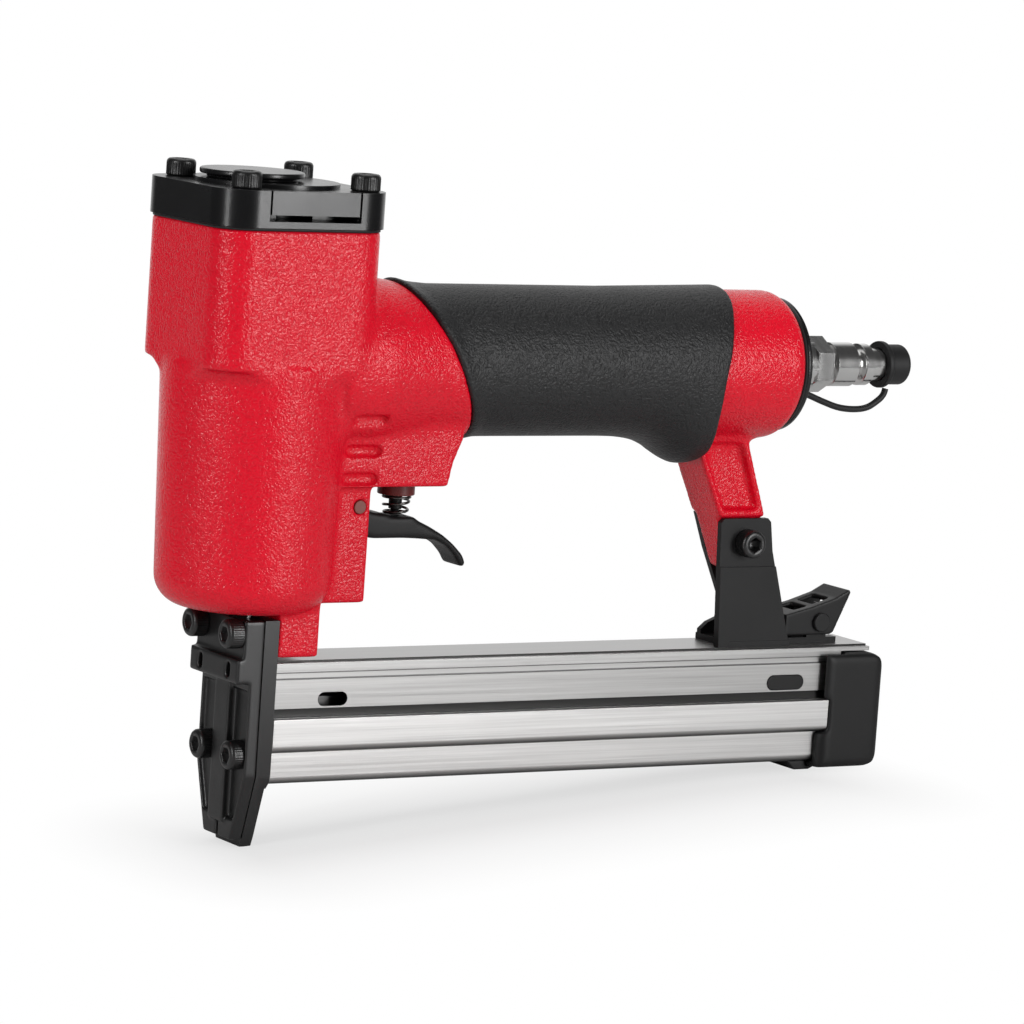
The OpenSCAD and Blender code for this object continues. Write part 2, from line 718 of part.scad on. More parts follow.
module leg_solid() {
    upper = [[leg_face_x(leg_top_z), leg_top_z], [leg_rear_x(leg_top_z), leg_top_z],
        [leg_rear_x(leg_shoulder_z), leg_shoulder_z], [leg_front_x(leg_shoulder_z), leg_shoulder_z]];
    tongue = [[leg_front_x(leg_shoulder_z + over), leg_shoulder_z + over],
        [leg_rear_x(leg_shoulder_z) - 1, leg_shoulder_z + over], [leg_rear_x(leg_shoulder_z)
            - 1, leg_heel_z],
        [leg_front_x(leg_end_z) + leg_toe, leg_end_z], [leg_front_x(leg_end_z), leg_end_z + leg_toe_h]];
    pocket_top = leg_line_z + 1;
    pocket_end = leg_shoulder_z + leg_pocket_rim;
    pocket = [[leg_face_x(pocket_top) + leg_pocket_rim, pocket_top],
        [leg_rear_x(pocket_top) - leg_pocket_rim, pocket_top],
        [leg_rear_x(pocket_end) - leg_pocket_rim, pocket_end],
        [leg_face_x(pocket_end) + leg_pocket_rim, pocket_end]];
    difference() {
        side_plate(upper, -leg_half, leg_half);
        both_sides() side_plate(pocket, leg_half - leg_pocket_depth, leg_half + over);
    }
    side_plate(tongue, -leg_tongue_half, leg_tongue_half);
}
module boss_solid() {
    block([0, boss_x], [-boss_half, boss_half], [boss_z, housing_z + over]);
    block([nose_rear_x, neck_rear_x], [-neck_half, neck_half], [neck_z, barrel_z + barrel_edge_r]);
}
module body_casting() {
    color(red) difference() {
        union() {
            barrel_solid();
            head_solid();
            difference() {
                union() {
                    handle_solid();
                    side_plate(housing_outline, -housing_half, housing_half);
                }
                difference() {
                    grip_zone(handle_r + over);
                    along_x(root_x, 0, handle_z) cylinder(r = core_r, h = handle_end_x - root_x);
                }
            }
            leg_solid();
            boss_solid();
        }
        // chamber for the cylinder sleeve and the way through for the blade
        translate([0, 0, floor_z]) cylinder(r = chamber_r, h = head_top_z - floor_z + over);
        translate([0, 0, neck_z - over]) cylinder(r = blade_hole_r, h = floor_z - neck_z + 2 * over);
        // air space in the handle and the seat of the inlet cap
        along_x(0, 0, handle_z) cylinder(r = reservoir_r, h = handle_end_x + over);
        along_x(handle_end_x - inlet_spigot_l - over, 0, handle_z)
            cylinder(r = inlet_spigot_r + press_gap, h = inlet_spigot_l + 2 * over);
        // seat of the trigger valve
        translate([stem_x, 0, housing_z - over]) cylinder(r = valve_r + press_gap,
            h = handle_z - housing_z);
        // slot and pin hole of the trigger
        block([slot_front_x, boss_x + over], [-trigger_half - slot_side_gap, trigger_half + slot_side_gap],
            [trigger_z - slot_drop, housing_z]);
        along_y(trigger_x, -boss_half - over, trigger_z)
            cylinder(r = trigger_pin_r + press_gap, h = 2 * (boss_half + over));
        // threads of the cap bolts, the nose bolts and the bracket bolt
        for (p = cap_bolt_xy)
            translate([p[0], p[1], head_top_z - cap_bolt_grip])
                cylinder(r = bolt_r, h = cap_bolt_grip + over);
        for (y = [-1, 1])
            along_x(nose_rear_x - over, y * nose_bolt_upper_y, nose_bolt_upper_z)
                cylinder(r = bolt_r, h = neck_t - 2);
        along_y(bracket_bolt_x, -leg_half - over, bracket_bolt_z)
            cylinder(r = clear_hole_r, h = 2 * (leg_half + over));
        // vent recesses in the sides
        for (p = vents) both_sides()
            round_slot([p[0], p[0] + vent_l, p[2] - vent_h / 2, p[2] + vent_h / 2], p[1], root_r);
    }
}

// Cap
module cap_gasket() {
    color(black) difference() {
        translate([0, 0, head_top_z]) linear_extrude(gasket_t) head_plan();
        translate([0, 0, head_top_z - over]) cylinder(r = chamber_r, h = gasket_t + 2 * over);
        for (p = cap_bolt_xy) translate([p[0], p[1], head_top_z - over])
            cylinder(r = clear_hole_r, h = gasket_t + 2 * over);
    }
}
module top_cap() {
    flap_x = [flap_back - flap_w / 2, flap_back + flap_w / 2];
    near = -head_half - cap_lip;
    slit = cap_z + exhaust_slit_z;
    color(black) difference() {
        union() {
            translate([0, 0, cap_z]) linear_extrude(cap_t) head_plan(cap_lip);
            translate([0, 0, cap_top_z - over]) cylinder(r = cap_round_r, h = cap_round_h + over);
        }
        difference() {
            translate([0, 0, cap_z - over]) cylinder(r = chamber_r - 3, h = cap_pocket_h + over);
            translate([0, 0, cap_ceiling_z - guide_h / 2]) cylinder(r = guide_r + guide_wall, h = guide_h);
        }
        translate([0, 0, cap_z - over]) cylinder(r = guide_r + run_gap, h = cap_pocket_h + over);
        for (p = cap_bolt_xy) translate([p[0], p[1], cap_z - over])
            cylinder(r = clear_hole_r, h = cap_t + 2 * over);
        // exhaust flap: a slit below it and a narrow groove at each end
        block(flap_x, [near - over, -chamber_r + 4], [slit, slit + exhaust_slit_h]);
        for (x = flap_x) block([x - 0.3, x + 0.3], [near - over, near + 1.4], [slit, cap_top_z + over]);
        // seat of the exhaust cover
        translate([-exhaust_shift, 0, cap_ceiling_z + 1]) cylinder(r = guide_bore_r + press_gap,
            h = cap_t + cap_round_h);
    }
}
module exhaust_cover() {
    seat_z = cap_top_z + cap_round_h;
    color(black) translate([-exhaust_shift, 0, 0]) {
        translate([0, 0, seat_z + exhaust_gap]) cylinder(r = exhaust_disc_r, h = exhaust_disc_t);
        translate([0, 0, seat_z]) cylinder(r = exhaust_disc_r - 2, h = exhaust_gap + over);
        translate([0, 0, seat_z - 3]) cylinder(r = guide_bore_r, h = 3 + over);
    }
}
module cap_bolts() {
    color(dark) for (p = cap_bolt_xy)
        translate([p[0], p[1], cap_top_z]) socket_screw(cap_t + gasket_t + cap_bolt_grip - 2);
}

// Cylinder, piston and head valve
module cylinder_sleeve() {
    outer = cylinder_r + sleeve_t;
    color(alloy) difference() {
        union() {
            translate([0, 0, floor_z]) cylinder(r = outer, h = sleeve_h);
            for (z = seal_heights()) translate([0, 0, z - seal_land_h / 2])
                cylinder(r = chamber_r - run_gap, h = seal_land_h);
        }
        translate([0, 0, floor_z - over]) cylinder(r = cylinder_r, h = sleeve_h + 2 * over);
        for (z = seal_heights()) translate([0, 0, z - ring_slot_h / 2]) difference() {
            cylinder(r = chamber_r + over, h = ring_slot_h);
            translate([0, 0, -over]) cylinder(r = chamber_r - 2 * ring_r - 2 * seal_gap,
                h = ring_slot_h + 2 * over);
        }
    }
}
function seal_heights() = [floor_z + low_seal_h, sleeve_top_z - high_seal_drop];
module cylinder_seals() {
    color(seal) for (z = seal_heights()) ring(chamber_r - ring_r - seal_gap, z, ring_r);
}
module bumper() {
    color(seal) difference() {
        translate([0, 0, floor_z]) cylinder(r = cylinder_r - 0.2, h = bumper_h);
        translate([0, 0, floor_z - over]) cylinder(r = blade_hole_r, h = bumper_h + 2 * over);
    }
}
module piston() {
    slot_gap = 0.1;
    color(alloy) difference() {
        translate([0, 0, piston_z]) cylinder(r = cylinder_r - run_gap, h = piston_h);
        translate([0, 0, piston_z + piston_h - piston_land_h - ring_slot_h]) difference() {
            cylinder(r = cylinder_r + over, h = ring_slot_h);
            translate([0, 0, -over]) cylinder(r = cylinder_r - 2 * ring_r - 2 * seal_gap,
                h = ring_slot_h + 2 * over);
        }
        block([-blade_t / 2 - slot_gap, blade_t / 2 + slot_gap],
            [-blade_w / 2 - slot_gap, blade_w / 2 + slot_gap],
            [piston_z - over, piston_z + blade_seat_h]);
        along_x(-driver_pin_h / 2 - slot_gap, 0, piston_z + blade_seat_h / 2)
            cylinder(r = driver_pin_r + press_gap, h = driver_pin_h + 2 * slot_gap);
    }
}
module piston_seal() {
    color(seal) ring(cylinder_r - ring_r - seal_gap,
        piston_z + piston_h - piston_land_h - ring_slot_h / 2, ring_r);
}
module driver_blade() {
    color(steel) difference() {
        block([-blade_t / 2, blade_t / 2], [-blade_w / 2, blade_w / 2],
            [blade_tip_z, piston_z + blade_seat_h - 0.2]);
        along_x(-blade_t, 0, piston_z + blade_seat_h / 2) cylinder(r = driver_pin_r + press_gap,
            h = 2 * blade_t);
    }
}
module driver_pin() {
    color(steel) along_x(-driver_pin_h / 2, 0, piston_z + blade_seat_h / 2)
        cylinder(r = driver_pin_r, h = driver_pin_h);
}
module head_valve() {
    color(dark) difference() {
        union() {
            translate([0, 0, head_valve_z]) cylinder(r = chamber_r - run_gap, h = head_valve_h);
            translate([0, 0, head_valve_top_z - over]) cylinder(r = guide_r, h = guide_stem_h + over);
        }
        translate([0, 0, head_valve_z - over]) cylinder(r = guide_bore_r,
            h = head_valve_h + guide_stem_h + 2 * over);
        translate([0, 0, head_valve_z - over]) difference() {
            cylinder(r = cylinder_r + sleeve_t + press_gap, h = head_seal_t / 2 + over);
            cylinder(r = cylinder_r - 1 - press_gap, h = head_seal_t / 2 + 2 * over);
        }
    }
}
module head_valve_seal() {
    color(seal) translate([0, 0, sleeve_top_z + seal_lift]) difference() {
        cylinder(r = cylinder_r + sleeve_t, h = head_seal_t);
        translate([0, 0, -over]) cylinder(r = cylinder_r - 1, h = head_seal_t + 2 * over);
    }
}
head_coil_z = head_valve_top_z + head_wire_d / 2 + seal_lift;
head_coil_r = (guide_r + guide_wall + 0.4 + head_wire_d / 2) / cos(180 / 8);
head_coil_h = cap_ceiling_z - head_wire_d / 2 - seal_lift - head_coil_z;
head_coil = straight_ends(coil(head_coil_r, head_coil_r, head_coil_h, 4.5), head_wire_d);
module head_valve_spring() {
    color(steel) translate([0, 0, head_coil_z]) tube(head_coil, head_wire_d / 2, 6, [0, 0, 1]);
}

// Trigger and its valve
module trigger_valve_body() {
    color("#5a1d1b") translate([stem_x, 0, 0]) difference() {
        union() {
            translate([0, 0, valve_z]) cylinder(r = valve_r, h = valve_h);
            translate([0, 0, valve_collar_z]) cylinder(r = valve_collar_r, h = valve_collar_h + over);
        }
        translate([0, 0, valve_collar_z - over]) cylinder(r = stem_r + run_gap,
            h = valve_h + valve_collar_h + 2 * over);
        translate([0, 0, valve_chamber_z]) cylinder(r = valve_chamber_r, h = valve_h);
        for (z = valve_seal_z) translate([0, 0, z - valve_slot_h / 2]) difference() {
            cylinder(r = valve_r + over, h = valve_slot_h);
            translate([0, 0, -over]) cylinder(r = valve_r - valve_slot_depth, h = valve_slot_h + 2 * over);
        }
    }
}
module trigger_valve_seals() {
    color(seal) translate([stem_x, 0, 0]) for (z = valve_seal_z)
        ring(valve_r - valve_ring_r - press_gap, z, valve_ring_r);
}
module valve_stem() {
    color(black) translate([stem_x, 0, 0]) {
        translate([0, 0, stem_bottom_z]) cylinder(r = stem_tip_r, h = stem_tip_h + over);
        translate([0, 0, stem_bottom_z + stem_tip_h]) cylinder(r = stem_r, h = stem_head_z - stem_bottom_z);
        translate([0, 0, stem_head_z]) cylinder(r = stem_head_r, h = stem_head_h);
    }
}
module trigger() {
    color(black) difference() {
        union() {
            side_plate(lever, -trigger_half, trigger_half);
            along_y(trigger_x, -trigger_half, trigger_z) cylinder(r = hub_r, h = 2 * trigger_half);
        }
        along_y(trigger_x, -trigger_half - over, trigger_z)
            cylinder(r = trigger_pin_r + run_gap, h = 2 * (trigger_half + over));
    }
}
module trigger_pin() {
    color(dark) along_y(trigger_x, -boss_half, trigger_z) cylinder(r = trigger_pin_r, h = 2 * boss_half);
}
trigger_coil_z = pad_z + trigger_wire_d / 2 + seal_lift;
trigger_coil_h = valve_collar_z - trigger_wire_d / 2 - seal_lift - trigger_coil_z;
trigger_coil_r = stem_r + coil_gap + trigger_wire_d / 2;
trigger_coil = straight_ends(coil(trigger_coil_r, trigger_coil_r + coil_flare, trigger_coil_h, 3),
    trigger_wire_d);
module trigger_spring() {
    color(steel) translate([stem_x, 0, trigger_coil_z])
        tube(trigger_coil, trigger_wire_d / 2, 6, [0, 0, 1]);
}

// Grip, inlet and plug
module grip_sleeve() {
    color(rubber) difference() {
        intersection() {
            grip_zone(handle_r + 2 * over);
            union() {
                along_x(root_x, 0, handle_z + grip_lift) cylinder(r = grip_r, h = handle_end_x - root_x);
                along_x(root_x, 0, handle_z) cylinder(r1 = root_r, r2 = grip_r, h = root_end_x - root_x);
                intersection() {
                    side_plate(concat(beak, beak_top), -beak_r, beak_r);
                    along_x(root_x, 0, beak_z + beak_r) cylinder(r = beak_r, h = handle_end_x - root_x);
                }
            }
        }
        along_x(root_x - over, 0, handle_z) cylinder(r = core_r + press_gap, h = handle_end_x);
        // the leg's front face behind the beak
        side_plate([[leg_face_x(leg_top_z) - press_gap, leg_top_z], [handle_end_x, leg_top_z],
            [handle_end_x, leg_shoulder_z], [leg_front_x(leg_shoulder_z) - press_gap, leg_shoulder_z]],
            -leg_half - press_gap, leg_half + press_gap);
    }
}
module inlet_gasket() {
    color(black) along_x(inlet_gasket_x, 0, handle_z) difference() {
        cylinder(r = inlet_r, h = inlet_gasket_t);
        translate([0, 0, -over]) cylinder(r = inlet_spigot_r + press_gap, h = inlet_gasket_t + 2 * over);
    }
}
module inlet_cap() {
    color(black) along_x(0, 0, handle_z) difference() {
        union() {
            translate([0, 0, inlet_cap_x]) cylinder(r = inlet_r, h = inlet_cap_t);
            translate([0, 0, handle_end_x - inlet_spigot_l]) cylinder(r = inlet_spigot_r,
                h = inlet_spigot_l + over);
        }
        translate([0, 0, handle_end_x - inlet_spigot_l - over])
            cylinder(r = plug_thread_r + thread_gap,
                h = inlet_spigot_l + inlet_cap_t + inlet_gasket_t + 2 * over);
    }
}
module air_plug() {
    waist_r = plug_body_r - plug_waist;
    k = plug_steps;
    color(nickel) along_x(0, 0, handle_z) difference() {
        union() {
            translate([0, 0, inlet_face_x - plug_thread_l]) cylinder(r = plug_thread_r, h = plug_thread_l);
            translate([0, 0, inlet_face_x - over]) cylinder(r = plug_neck_r, h = plug_neck_l + 2 * over);
            translate([0, 0, plug_collar_x]) cylinder(r = plug_collar_r, h = plug_collar_l + over);
            translate([0, 0, plug_hex_x]) cylinder(d = plug_hex / cos(30), h = plug_hex_l, $fn = 6);
            translate([0, 0, plug_x]) rotate_extrude() polygon([[0, -over], [waist_r, -over],
                [waist_r, k[0]],
                [plug_body_r, k[1]], [plug_body_r, k[2]], [plug_body_r - plug_edge, k[3]],
                    [plug_groove_r, k[4]],
                [plug_groove_r, k[5]], [plug_ring_r - plug_edge, k[6]], [plug_ring_r, k[7]],
                    [plug_ring_r, k[8]],
                [plug_tip_r, k[9]], [plug_tip_r, plug_l - plug_edge], [plug_tip_r - plug_edge, plug_l],
                    [0, plug_l]]);
        }
        translate([0, 0, inlet_face_x - plug_thread_l - over])
            cylinder(r = plug_bore_r, h = plug_thread_l + plug_end_x - inlet_face_x + 2 * over);
    }
}
module tether_ring() {
    color(rubber) along_x(tether_ring_x, 0, handle_z) difference() {
        cylinder(r = tether_ring_r, h = tether_ring_t);
        translate([0, 0, -over]) cylinder(r = plug_neck_r + press_gap, h = tether_ring_t + 2 * over);
    }
}
tether_line = smooth_route([for (p = tether_route) [p[0], tether_y, p[1]]], 2);
module cap_tether() {
    color(rubber) tube(tether_line, tether_d / 2, 8, [0, 1, 0]);
}
module dust_cap() {
    color(rubber) along_x(0, 0, handle_z) difference() {
        union() {
            translate([0, 0, dust_x]) rotate_extrude() polygon([[0, 0], [dust_r, 0],
                [dust_r, dust_end_x - dust_x - dust_edge],
                [dust_r - dust_edge, dust_end_x - dust_x], [0, dust_end_x - dust_x]]);
            translate([0, 0, dust_x]) cylinder(r = dust_flange_r, h = dust_flange_t);
        }
        translate([0, 0, dust_x - over]) cylinder(r = plug_tip_r + dust_fit,
            h = dust_cover + dust_room + over);
    }
}

// Nose
module nose_plan() {
    polygon([[-nose_half, nose_top_z], [nose_half, nose_top_z], [nose_half, tip_taper_z],
        [tip_half + tip_chamfer, tip_chamfer_z], [tip_half, 0], [-tip_half, 0],
        [-tip_half - tip_chamfer, tip_chamfer_z], [-nose_half, tip_taper_z]]);
}
module nose_bolt_holes(x0, x1) {
    for (y = [-1, 1]) {
        along_x(x0, y * nose_bolt_upper_y, nose_bolt_upper_z) cylinder(r = clear_hole_r, h = x1 - x0);
        along_x(x0, y * nose_bolt_lower_y, nose_bolt_lower_z) cylinder(r = clear_hole_r, h = x1 - x0);
    }
}
module nose_front_plate() {
    flat_x = blade_face_x - front_flat_t;
    top_x = blade_face_x - front_plate_t;
    color(black) difference() {
        intersection() {
            cross_section(top_x - shoulder_extra - over, split_x) intersection() {
                nose_plan();
                translate([-nose_half, front_tip_z]) square([2 * nose_half, nose_top_z - front_tip_z]);
            }
            union() {
                block([top_x, split_x], [-nose_half, nose_half], [shoulder_z[1], nose_top_z]);
                block([top_x - shoulder_extra, split_x], [-nose_half, nose_half], shoulder_z);
                block([flat_x, split_x], [-nose_half, nose_half], [0, shoulder_z[0]]);
                block([flat_x - rib_extra, split_x], [-rib_half, rib_half], [tip_slit_z, shoulder_z[0]]);
            }
        }
        // pockets beside the rib, where the lower bolts sit
        cross_section(flat_x - over, blade_face_x - pocket_floor_t) for (side = [-1, 1])
            polygon([[side * rib_half, pocket_z[0]], [side * (pocket_tip_half - pocket_wall), pocket_z[0]],
                [side * (nose_half - pocket_wall), tip_taper_z], [side * (nose_half - pocket_wall), pocket_z[1]],
                [side * rib_half, pocket_z[1]]]);
        block([flat_x - 2 * over, split_x + over], [-tip_slit_half, tip_slit_half], [0, tip_slit_z]);
        block([blade_face_x, split_x + over], [-blade_half, blade_half], [-over, nose_top_z + over]);
        nose_bolt_holes(top_x - 4, split_x + over);
        for (y = [-1, 1]) along_x(flat_x - over, y * nose_bolt_lower_y, nose_bolt_lower_z)
            cylinder(r = bolt_head_d / 2 + seat_gap, h = front_flat_t - pocket_floor_t + over);
        // upright slots in the shoulder
        for (y = [-1, 1], h = [-boss_hole_h, boss_hole_h] / 2)
            along_x(top_x - shoulder_extra - over, y * boss_hole_y, (shoulder_z[0] + shoulder_z[1]) / 2 + h)
                cylinder(r = boss_hole_r, h = shoulder_extra + boss_hole_depth);
        for (y = [-1, 1] * boss_hole_y)
            block([top_x - shoulder_extra - over, top_x + boss_hole_depth - over],
                [y - boss_hole_r, y + boss_hole_r],
                [shoulder_z[0] + shoulder_z[1] - boss_hole_h, shoulder_z[0] + shoulder_z[1] + boss_hole_h] / 2);
    }
}
module nose_rear_plate() {
    color(black) difference() {
        cross_section(split_x, nose_rear_x) nose_plan();
        block([0, nose_rear_x + over], [-blade_half, blade_half], [magazine_z + 1, core_top_z + 3]);
        side_plate([[rear_relief_x, -over], [nose_rear_x + over, -over],
            [nose_rear_x + over, rear_relief_z + 1.6],
            [nose_rear_x, rear_relief_z + 1.6], [nose_rear_x - 0.6, rear_relief_z],
                [rear_relief_x, rear_relief_z]],
            -nose_half - over, nose_half + over);
        nose_bolt_holes(split_x - over, nose_rear_x + over);
    }
}
module nose_bolts() {
    upper_x = blade_face_x - front_plate_t;
    lower_x = blade_face_x - pocket_floor_t;
    color(dark) for (y = [-1, 1]) {
        translate([upper_x, y * nose_bolt_upper_y, nose_bolt_upper_z]) rotate([0, -90, 0])
            socket_screw(nose_rear_x - upper_x + neck_t - 4);
        translate([lower_x, y * nose_bolt_lower_y, nose_bolt_lower_z]) rotate([0, -90, 0])
            socket_screw(nose_rear_x - lower_x - 0.2);
    }
}

// Magazine
module upper_rail() {
    color(steel) difference() {
        union() {
            block([nose_rear_x, rail_end_x], [-rail_half, rail_half], [rail_under_z, rail_top_z]);
            both_sides() {
                block([nose_rear_x, rail_wall_end_x], [rail_in, rail_half], [rib_bottom_z, rail_top_z]);
                block([nose_rear_x, rail_wall_end_x], [rail_in, rib_out], [rib_bottom_z, rib_top_z]);
            }
        }
        both_sides() {
            block([nose_rear_x - over, rail_wall_end_x + over], [rail_half - groove_t, rail_half + over],
                groove_z);
            block([nose_rear_x - over, rail_wall_end_x + over], [rail_half - gap_groove_t, rail_half + over],
                gap_groove_z);
            block([nose_rear_x - over, rail_end_x + over], [rail_half - top_step[0], rail_half + over],
                [rail_top_z - top_step[1], rail_top_z + over]);
            round_slot(window, rail_in - over, rail_half + over);
            round_slot(pad_slot, rail_in - over, rail_half + over, press_gap);
        }
        block(hook_slot_x, [-hook_slot_half, hook_slot_half], [rail_under_z - over, rail_top_z + over]);
    }
}
module side_pads() {
    color(dark) both_sides() round_slot(pad_slot, rail_in, rail_half + pad_proud);
}
module lower_channel() {
    color(steel) {
        block([channel_x, channel_end_x], [-lower_half, lower_half], [magazine_z, magazine_z + sheet_t]);
        both_sides() {
            block([channel_x, channel_end_x], [lower_in, lower_half], [magazine_z, step_z + sheet_t]);
            block([channel_x, step_end_x], [lower_in, step_half], [step_z, step_z + sheet_t]);
            block([channel_x, step_end_x], [step_in, step_half], [step_z, step_top_z]);
            block([channel_x, step_end_x], [rail_half + slide_gap, step_half], [lip_z, step_top_z]);
        }
    }
}
module staple_core() {
    color(steel) difference() {
        block([channel_x, channel_end_x], [-core_half, core_half], [magazine_z + sheet_t, core_top_z]);
        block([channel_x - over, channel_end_x + over], [-core_half + core_wall, core_half - core_wall],
            [magazine_z, core_top_z - core_wall]);
    }
}
module pusher() {
    color(dark) difference() {
        union() {
            block([pusher_x, pusher_back_x], [-pusher_leg_out, pusher_leg_out],
                [core_top_z + slide_gap, pusher_top_z]);
            both_sides() block([pusher_x, pusher_back_x], [pusher_leg_in, pusher_leg_out],
                [pusher_leg_z, pusher_top_z]);
        }
        along_x(pusher_x - over, 0, spring_z) cylinder(r = rod_r + run_gap, h = pusher_l + 2 * over);
    }
}
pusher_coil_x = pusher_back_x + seal_lift + pusher_wire_d / 2;
pusher_coil_l = cap_solid_x - seal_lift - pusher_wire_d / 2 - pusher_coil_x;
pusher_coil = straight_ends(coil(spring_r, spring_r, pusher_coil_l, 32), pusher_wire_d);
module pusher_spring() {
    color(steel) along_x(pusher_coil_x, 0, spring_z) tube(pusher_coil, pusher_wire_d / 2, 6, [0, 0, 1]);
}
rod_seat_l = 5;
module spring_rod() {
    color(steel) along_x(pusher_x, 0, spring_z) cylinder(r = rod_r,
        h = cap_solid_x + rod_seat_l - pusher_x);
}
module end_cap() {
    gap = press_gap;
    color(black) difference() {
        union() {
            intersection() {
                translate([0, end_cap_half, 0]) rotate([90, 0, 0]) linear_extrude(2 * end_cap_half)
                    union() {
                    round_rect(end_cap_x, end_cap_rear_x, end_cap_z, end_cap_top_z, end_cap_edge_r);
                    translate([end_cap_x, end_cap_z])
                        square([(end_cap_rear_x - end_cap_x) / 2, end_cap_top_z - end_cap_z]);
                }
                cross_section(end_cap_x, end_cap_rear_x)
                    round_rect(-end_cap_half, end_cap_half, end_cap_z, end_cap_top_z, end_cap_side_r);
                translate([0, 0, end_cap_z]) linear_extrude(end_cap_top_z - end_cap_z)
                    round_rect(end_cap_x, end_cap_rear_x, -end_cap_half, end_cap_half, end_cap_corner_r);
            }
            block([hook_slot_x[0], cap_solid_x + over], [-tongue_half, tongue_half],
                [tongue_z - tongue_t, tongue_z]);
        }
        // room for the fixed rail's end
        difference() {
            block([end_cap_x - over, cap_solid_x], [-end_cap_in, end_cap_in],
                [rib_bottom_z - slide_gap, end_cap_top_z + over]);
            block([end_cap_x - 2 * over, cap_solid_x + over], [-tongue_half, tongue_half],
                [tongue_z - tongue_t, tongue_z]);
        }
        // seats of the lower channel and the staple core
        both_sides() block([end_cap_x - over, step_end_x + gap], [lower_in - gap, end_cap_half + over],
            [step_z - gap, step_top_z + slide_gap]);
        block([end_cap_x - over, channel_end_x + gap], [-lower_half - gap, lower_half + gap],
            [magazine_z - gap, step_z + sheet_t]);
        // notch in the tongue and the rod's seat
        block(hook_slot_x + [1, 0], [-hook_slot_half, hook_slot_half], [tongue_z - 1, tongue_z + over]);
        along_x(cap_solid_x - over, 0, spring_z) cylinder(r = rod_r + gap, h = rod_seat_l + 0.2 + over);
    }
}
module rear_foot() {
    step_x = end_cap_x - press_gap;
    step_under_z = end_cap_z - press_gap;
    color(rubber) side_plate([[foot_x[0], magazine_z], [foot_x[0] + foot_draft, foot_z],
        [foot_x[1] - foot_draft, foot_z], [foot_x[1], step_under_z], [step_x, step_under_z],
            [step_x, magazine_z]],
        -foot_half, foot_half);
}

// Bracket and latch
module support_bracket() {
    color(black) difference() {
        union() {
            block([base_x[0], ear_behind[1][0]], [-base_half, base_half], [base_z, base_top_z]);
            block(base_x, [-lug_out, lug_out], [base_z, base_top_z]);
            side_plate(near_ear, -ear_gap_half - ear_t, -ear_gap_half);
            side_plate(far_ear, ear_gap_half, ear_gap_half + ear_t);
            intersection() {
                side_plate(near_ear, -ear_gap_half - ear_t - ear_bend, -ear_gap_half);
                block([ear_front_x, latch_x], [-base_half - over, 0], [base_z, ear_bend_z]);
            }
            both_sides() {
                block([latch_x - lug_r, latch_x + lug_r], [lug_in, lug_out], [base_z, latch_z]);
                along_y(latch_x, lug_in, latch_z) cylinder(r = lug_r, h = lug_out - lug_in);
            }
        }
        along_y(bracket_bolt_x, -base_half - over, bracket_bolt_z)
            cylinder(r = clear_hole_r, h = base_half + over);
        along_y(bracket_bolt_x, 0, bracket_bolt_z) cylinder(r = bolt_r, h = base_half + over);
        along_y(latch_x, -base_half - over, latch_z) cylinder(r = latch_pin_r + press_gap,
            h = 2 * (base_half + over));
        block(hook_slot_x, [-hook_slot_half, hook_slot_half], [base_z - over, base_top_z + over]);
        translate([latch_spring_x, 0, base_z - over]) cylinder(r = latch_spring_hole_r,
            h = base_t + 2 * over);
    }
}
module bracket_bolt() {
    color(dark) translate([bracket_bolt_x, -ear_gap_half - ear_t, bracket_bolt_z]) rotate([90, 0, 0])
        socket_screw(2 * (ear_gap_half + ear_t) - press_gap);
}
module latch_lever() {
    inner = latch_half - latch_t;
    color(black) difference() {
        union() {
            difference() {
                side_plate(latch_outline, -latch_half, latch_half);
                side_plate(latch_inside, -inner, inner);
            }
            block(hook_x, [-hook_half, hook_half], [hook_z, hook_top_z]);
        }
        for (w = latch_windows) block(w, [-inner + latch_window_rim, inner - latch_window_rim],
            latch_window_z);
        along_y(latch_x, -latch_half - over, latch_z)
            cylinder(r = latch_pin_r + run_gap, h = 2 * (latch_half + over));
    }
}
module latch_pin() {
    head_y = latch_half + pin_head_gap;
    color(dark) {
        along_y(latch_x, -head_y - pin_head_h / 2, latch_z)
            cylinder(r = latch_pin_r, h = 2 * head_y + pin_head_h);
        both_sides() along_y(latch_x, head_y, latch_z) cylinder(r = latch_pin_r + pin_head_lip,
            h = pin_head_h);
    }
}
latch_coil_z = rail_top_z + latch_wire_d / 2 + seal_lift;
latch_coil_h = latch_spring_z - latch_wire_d / 2 - seal_lift - latch_coil_z;
latch_coil = straight_ends(coil(latch_spring_r, latch_spring_r, latch_coil_h, 6), latch_wire_d);
module latch_spring() {
    color(steel) translate([latch_spring_x, 0, latch_coil_z])
        tube(latch_coil, latch_wire_d / 2, 6, [0, 0, 1]);
}

// The least gap of each wound wire to itself
echo(trigger_spring_gap = least_gap(trigger_coil, trigger_wire_d));
echo(head_valve_spring_gap = least_gap(head_coil, head_wire_d));
echo(pusher_spring_gap = least_gap(pusher_coil, pusher_wire_d));
echo(latch_spring_gap = least_gap(latch_coil, latch_wire_d));

body_casting();
cap_gasket();
top_cap();
exhaust_cover();
cap_bolts();
cylinder_sleeve();
cylinder_seals();
bumper();
piston();
piston_seal();
driver_blade();
driver_pin();
head_valve();
head_valve_seal();
head_valve_spring();
trigger_valve_body();
trigger_valve_seals();
valve_stem();
trigger();
trigger_pin();
trigger_spring();
grip_sleeve();
inlet_gasket();
inlet_cap();
air_plug();
tether_ring();
cap_tether();
dust_cap();
nose_front_plate();
nose_rear_plate();
nose_bolts();
upper_rail();
side_pads();
lower_channel();
staple_core();
pusher();
pusher_spring();
spring_rod();
end_cap();
rear_foot();
support_bracket();
bracket_bolt();
latch_lever();
latch_pin();
latch_spring();
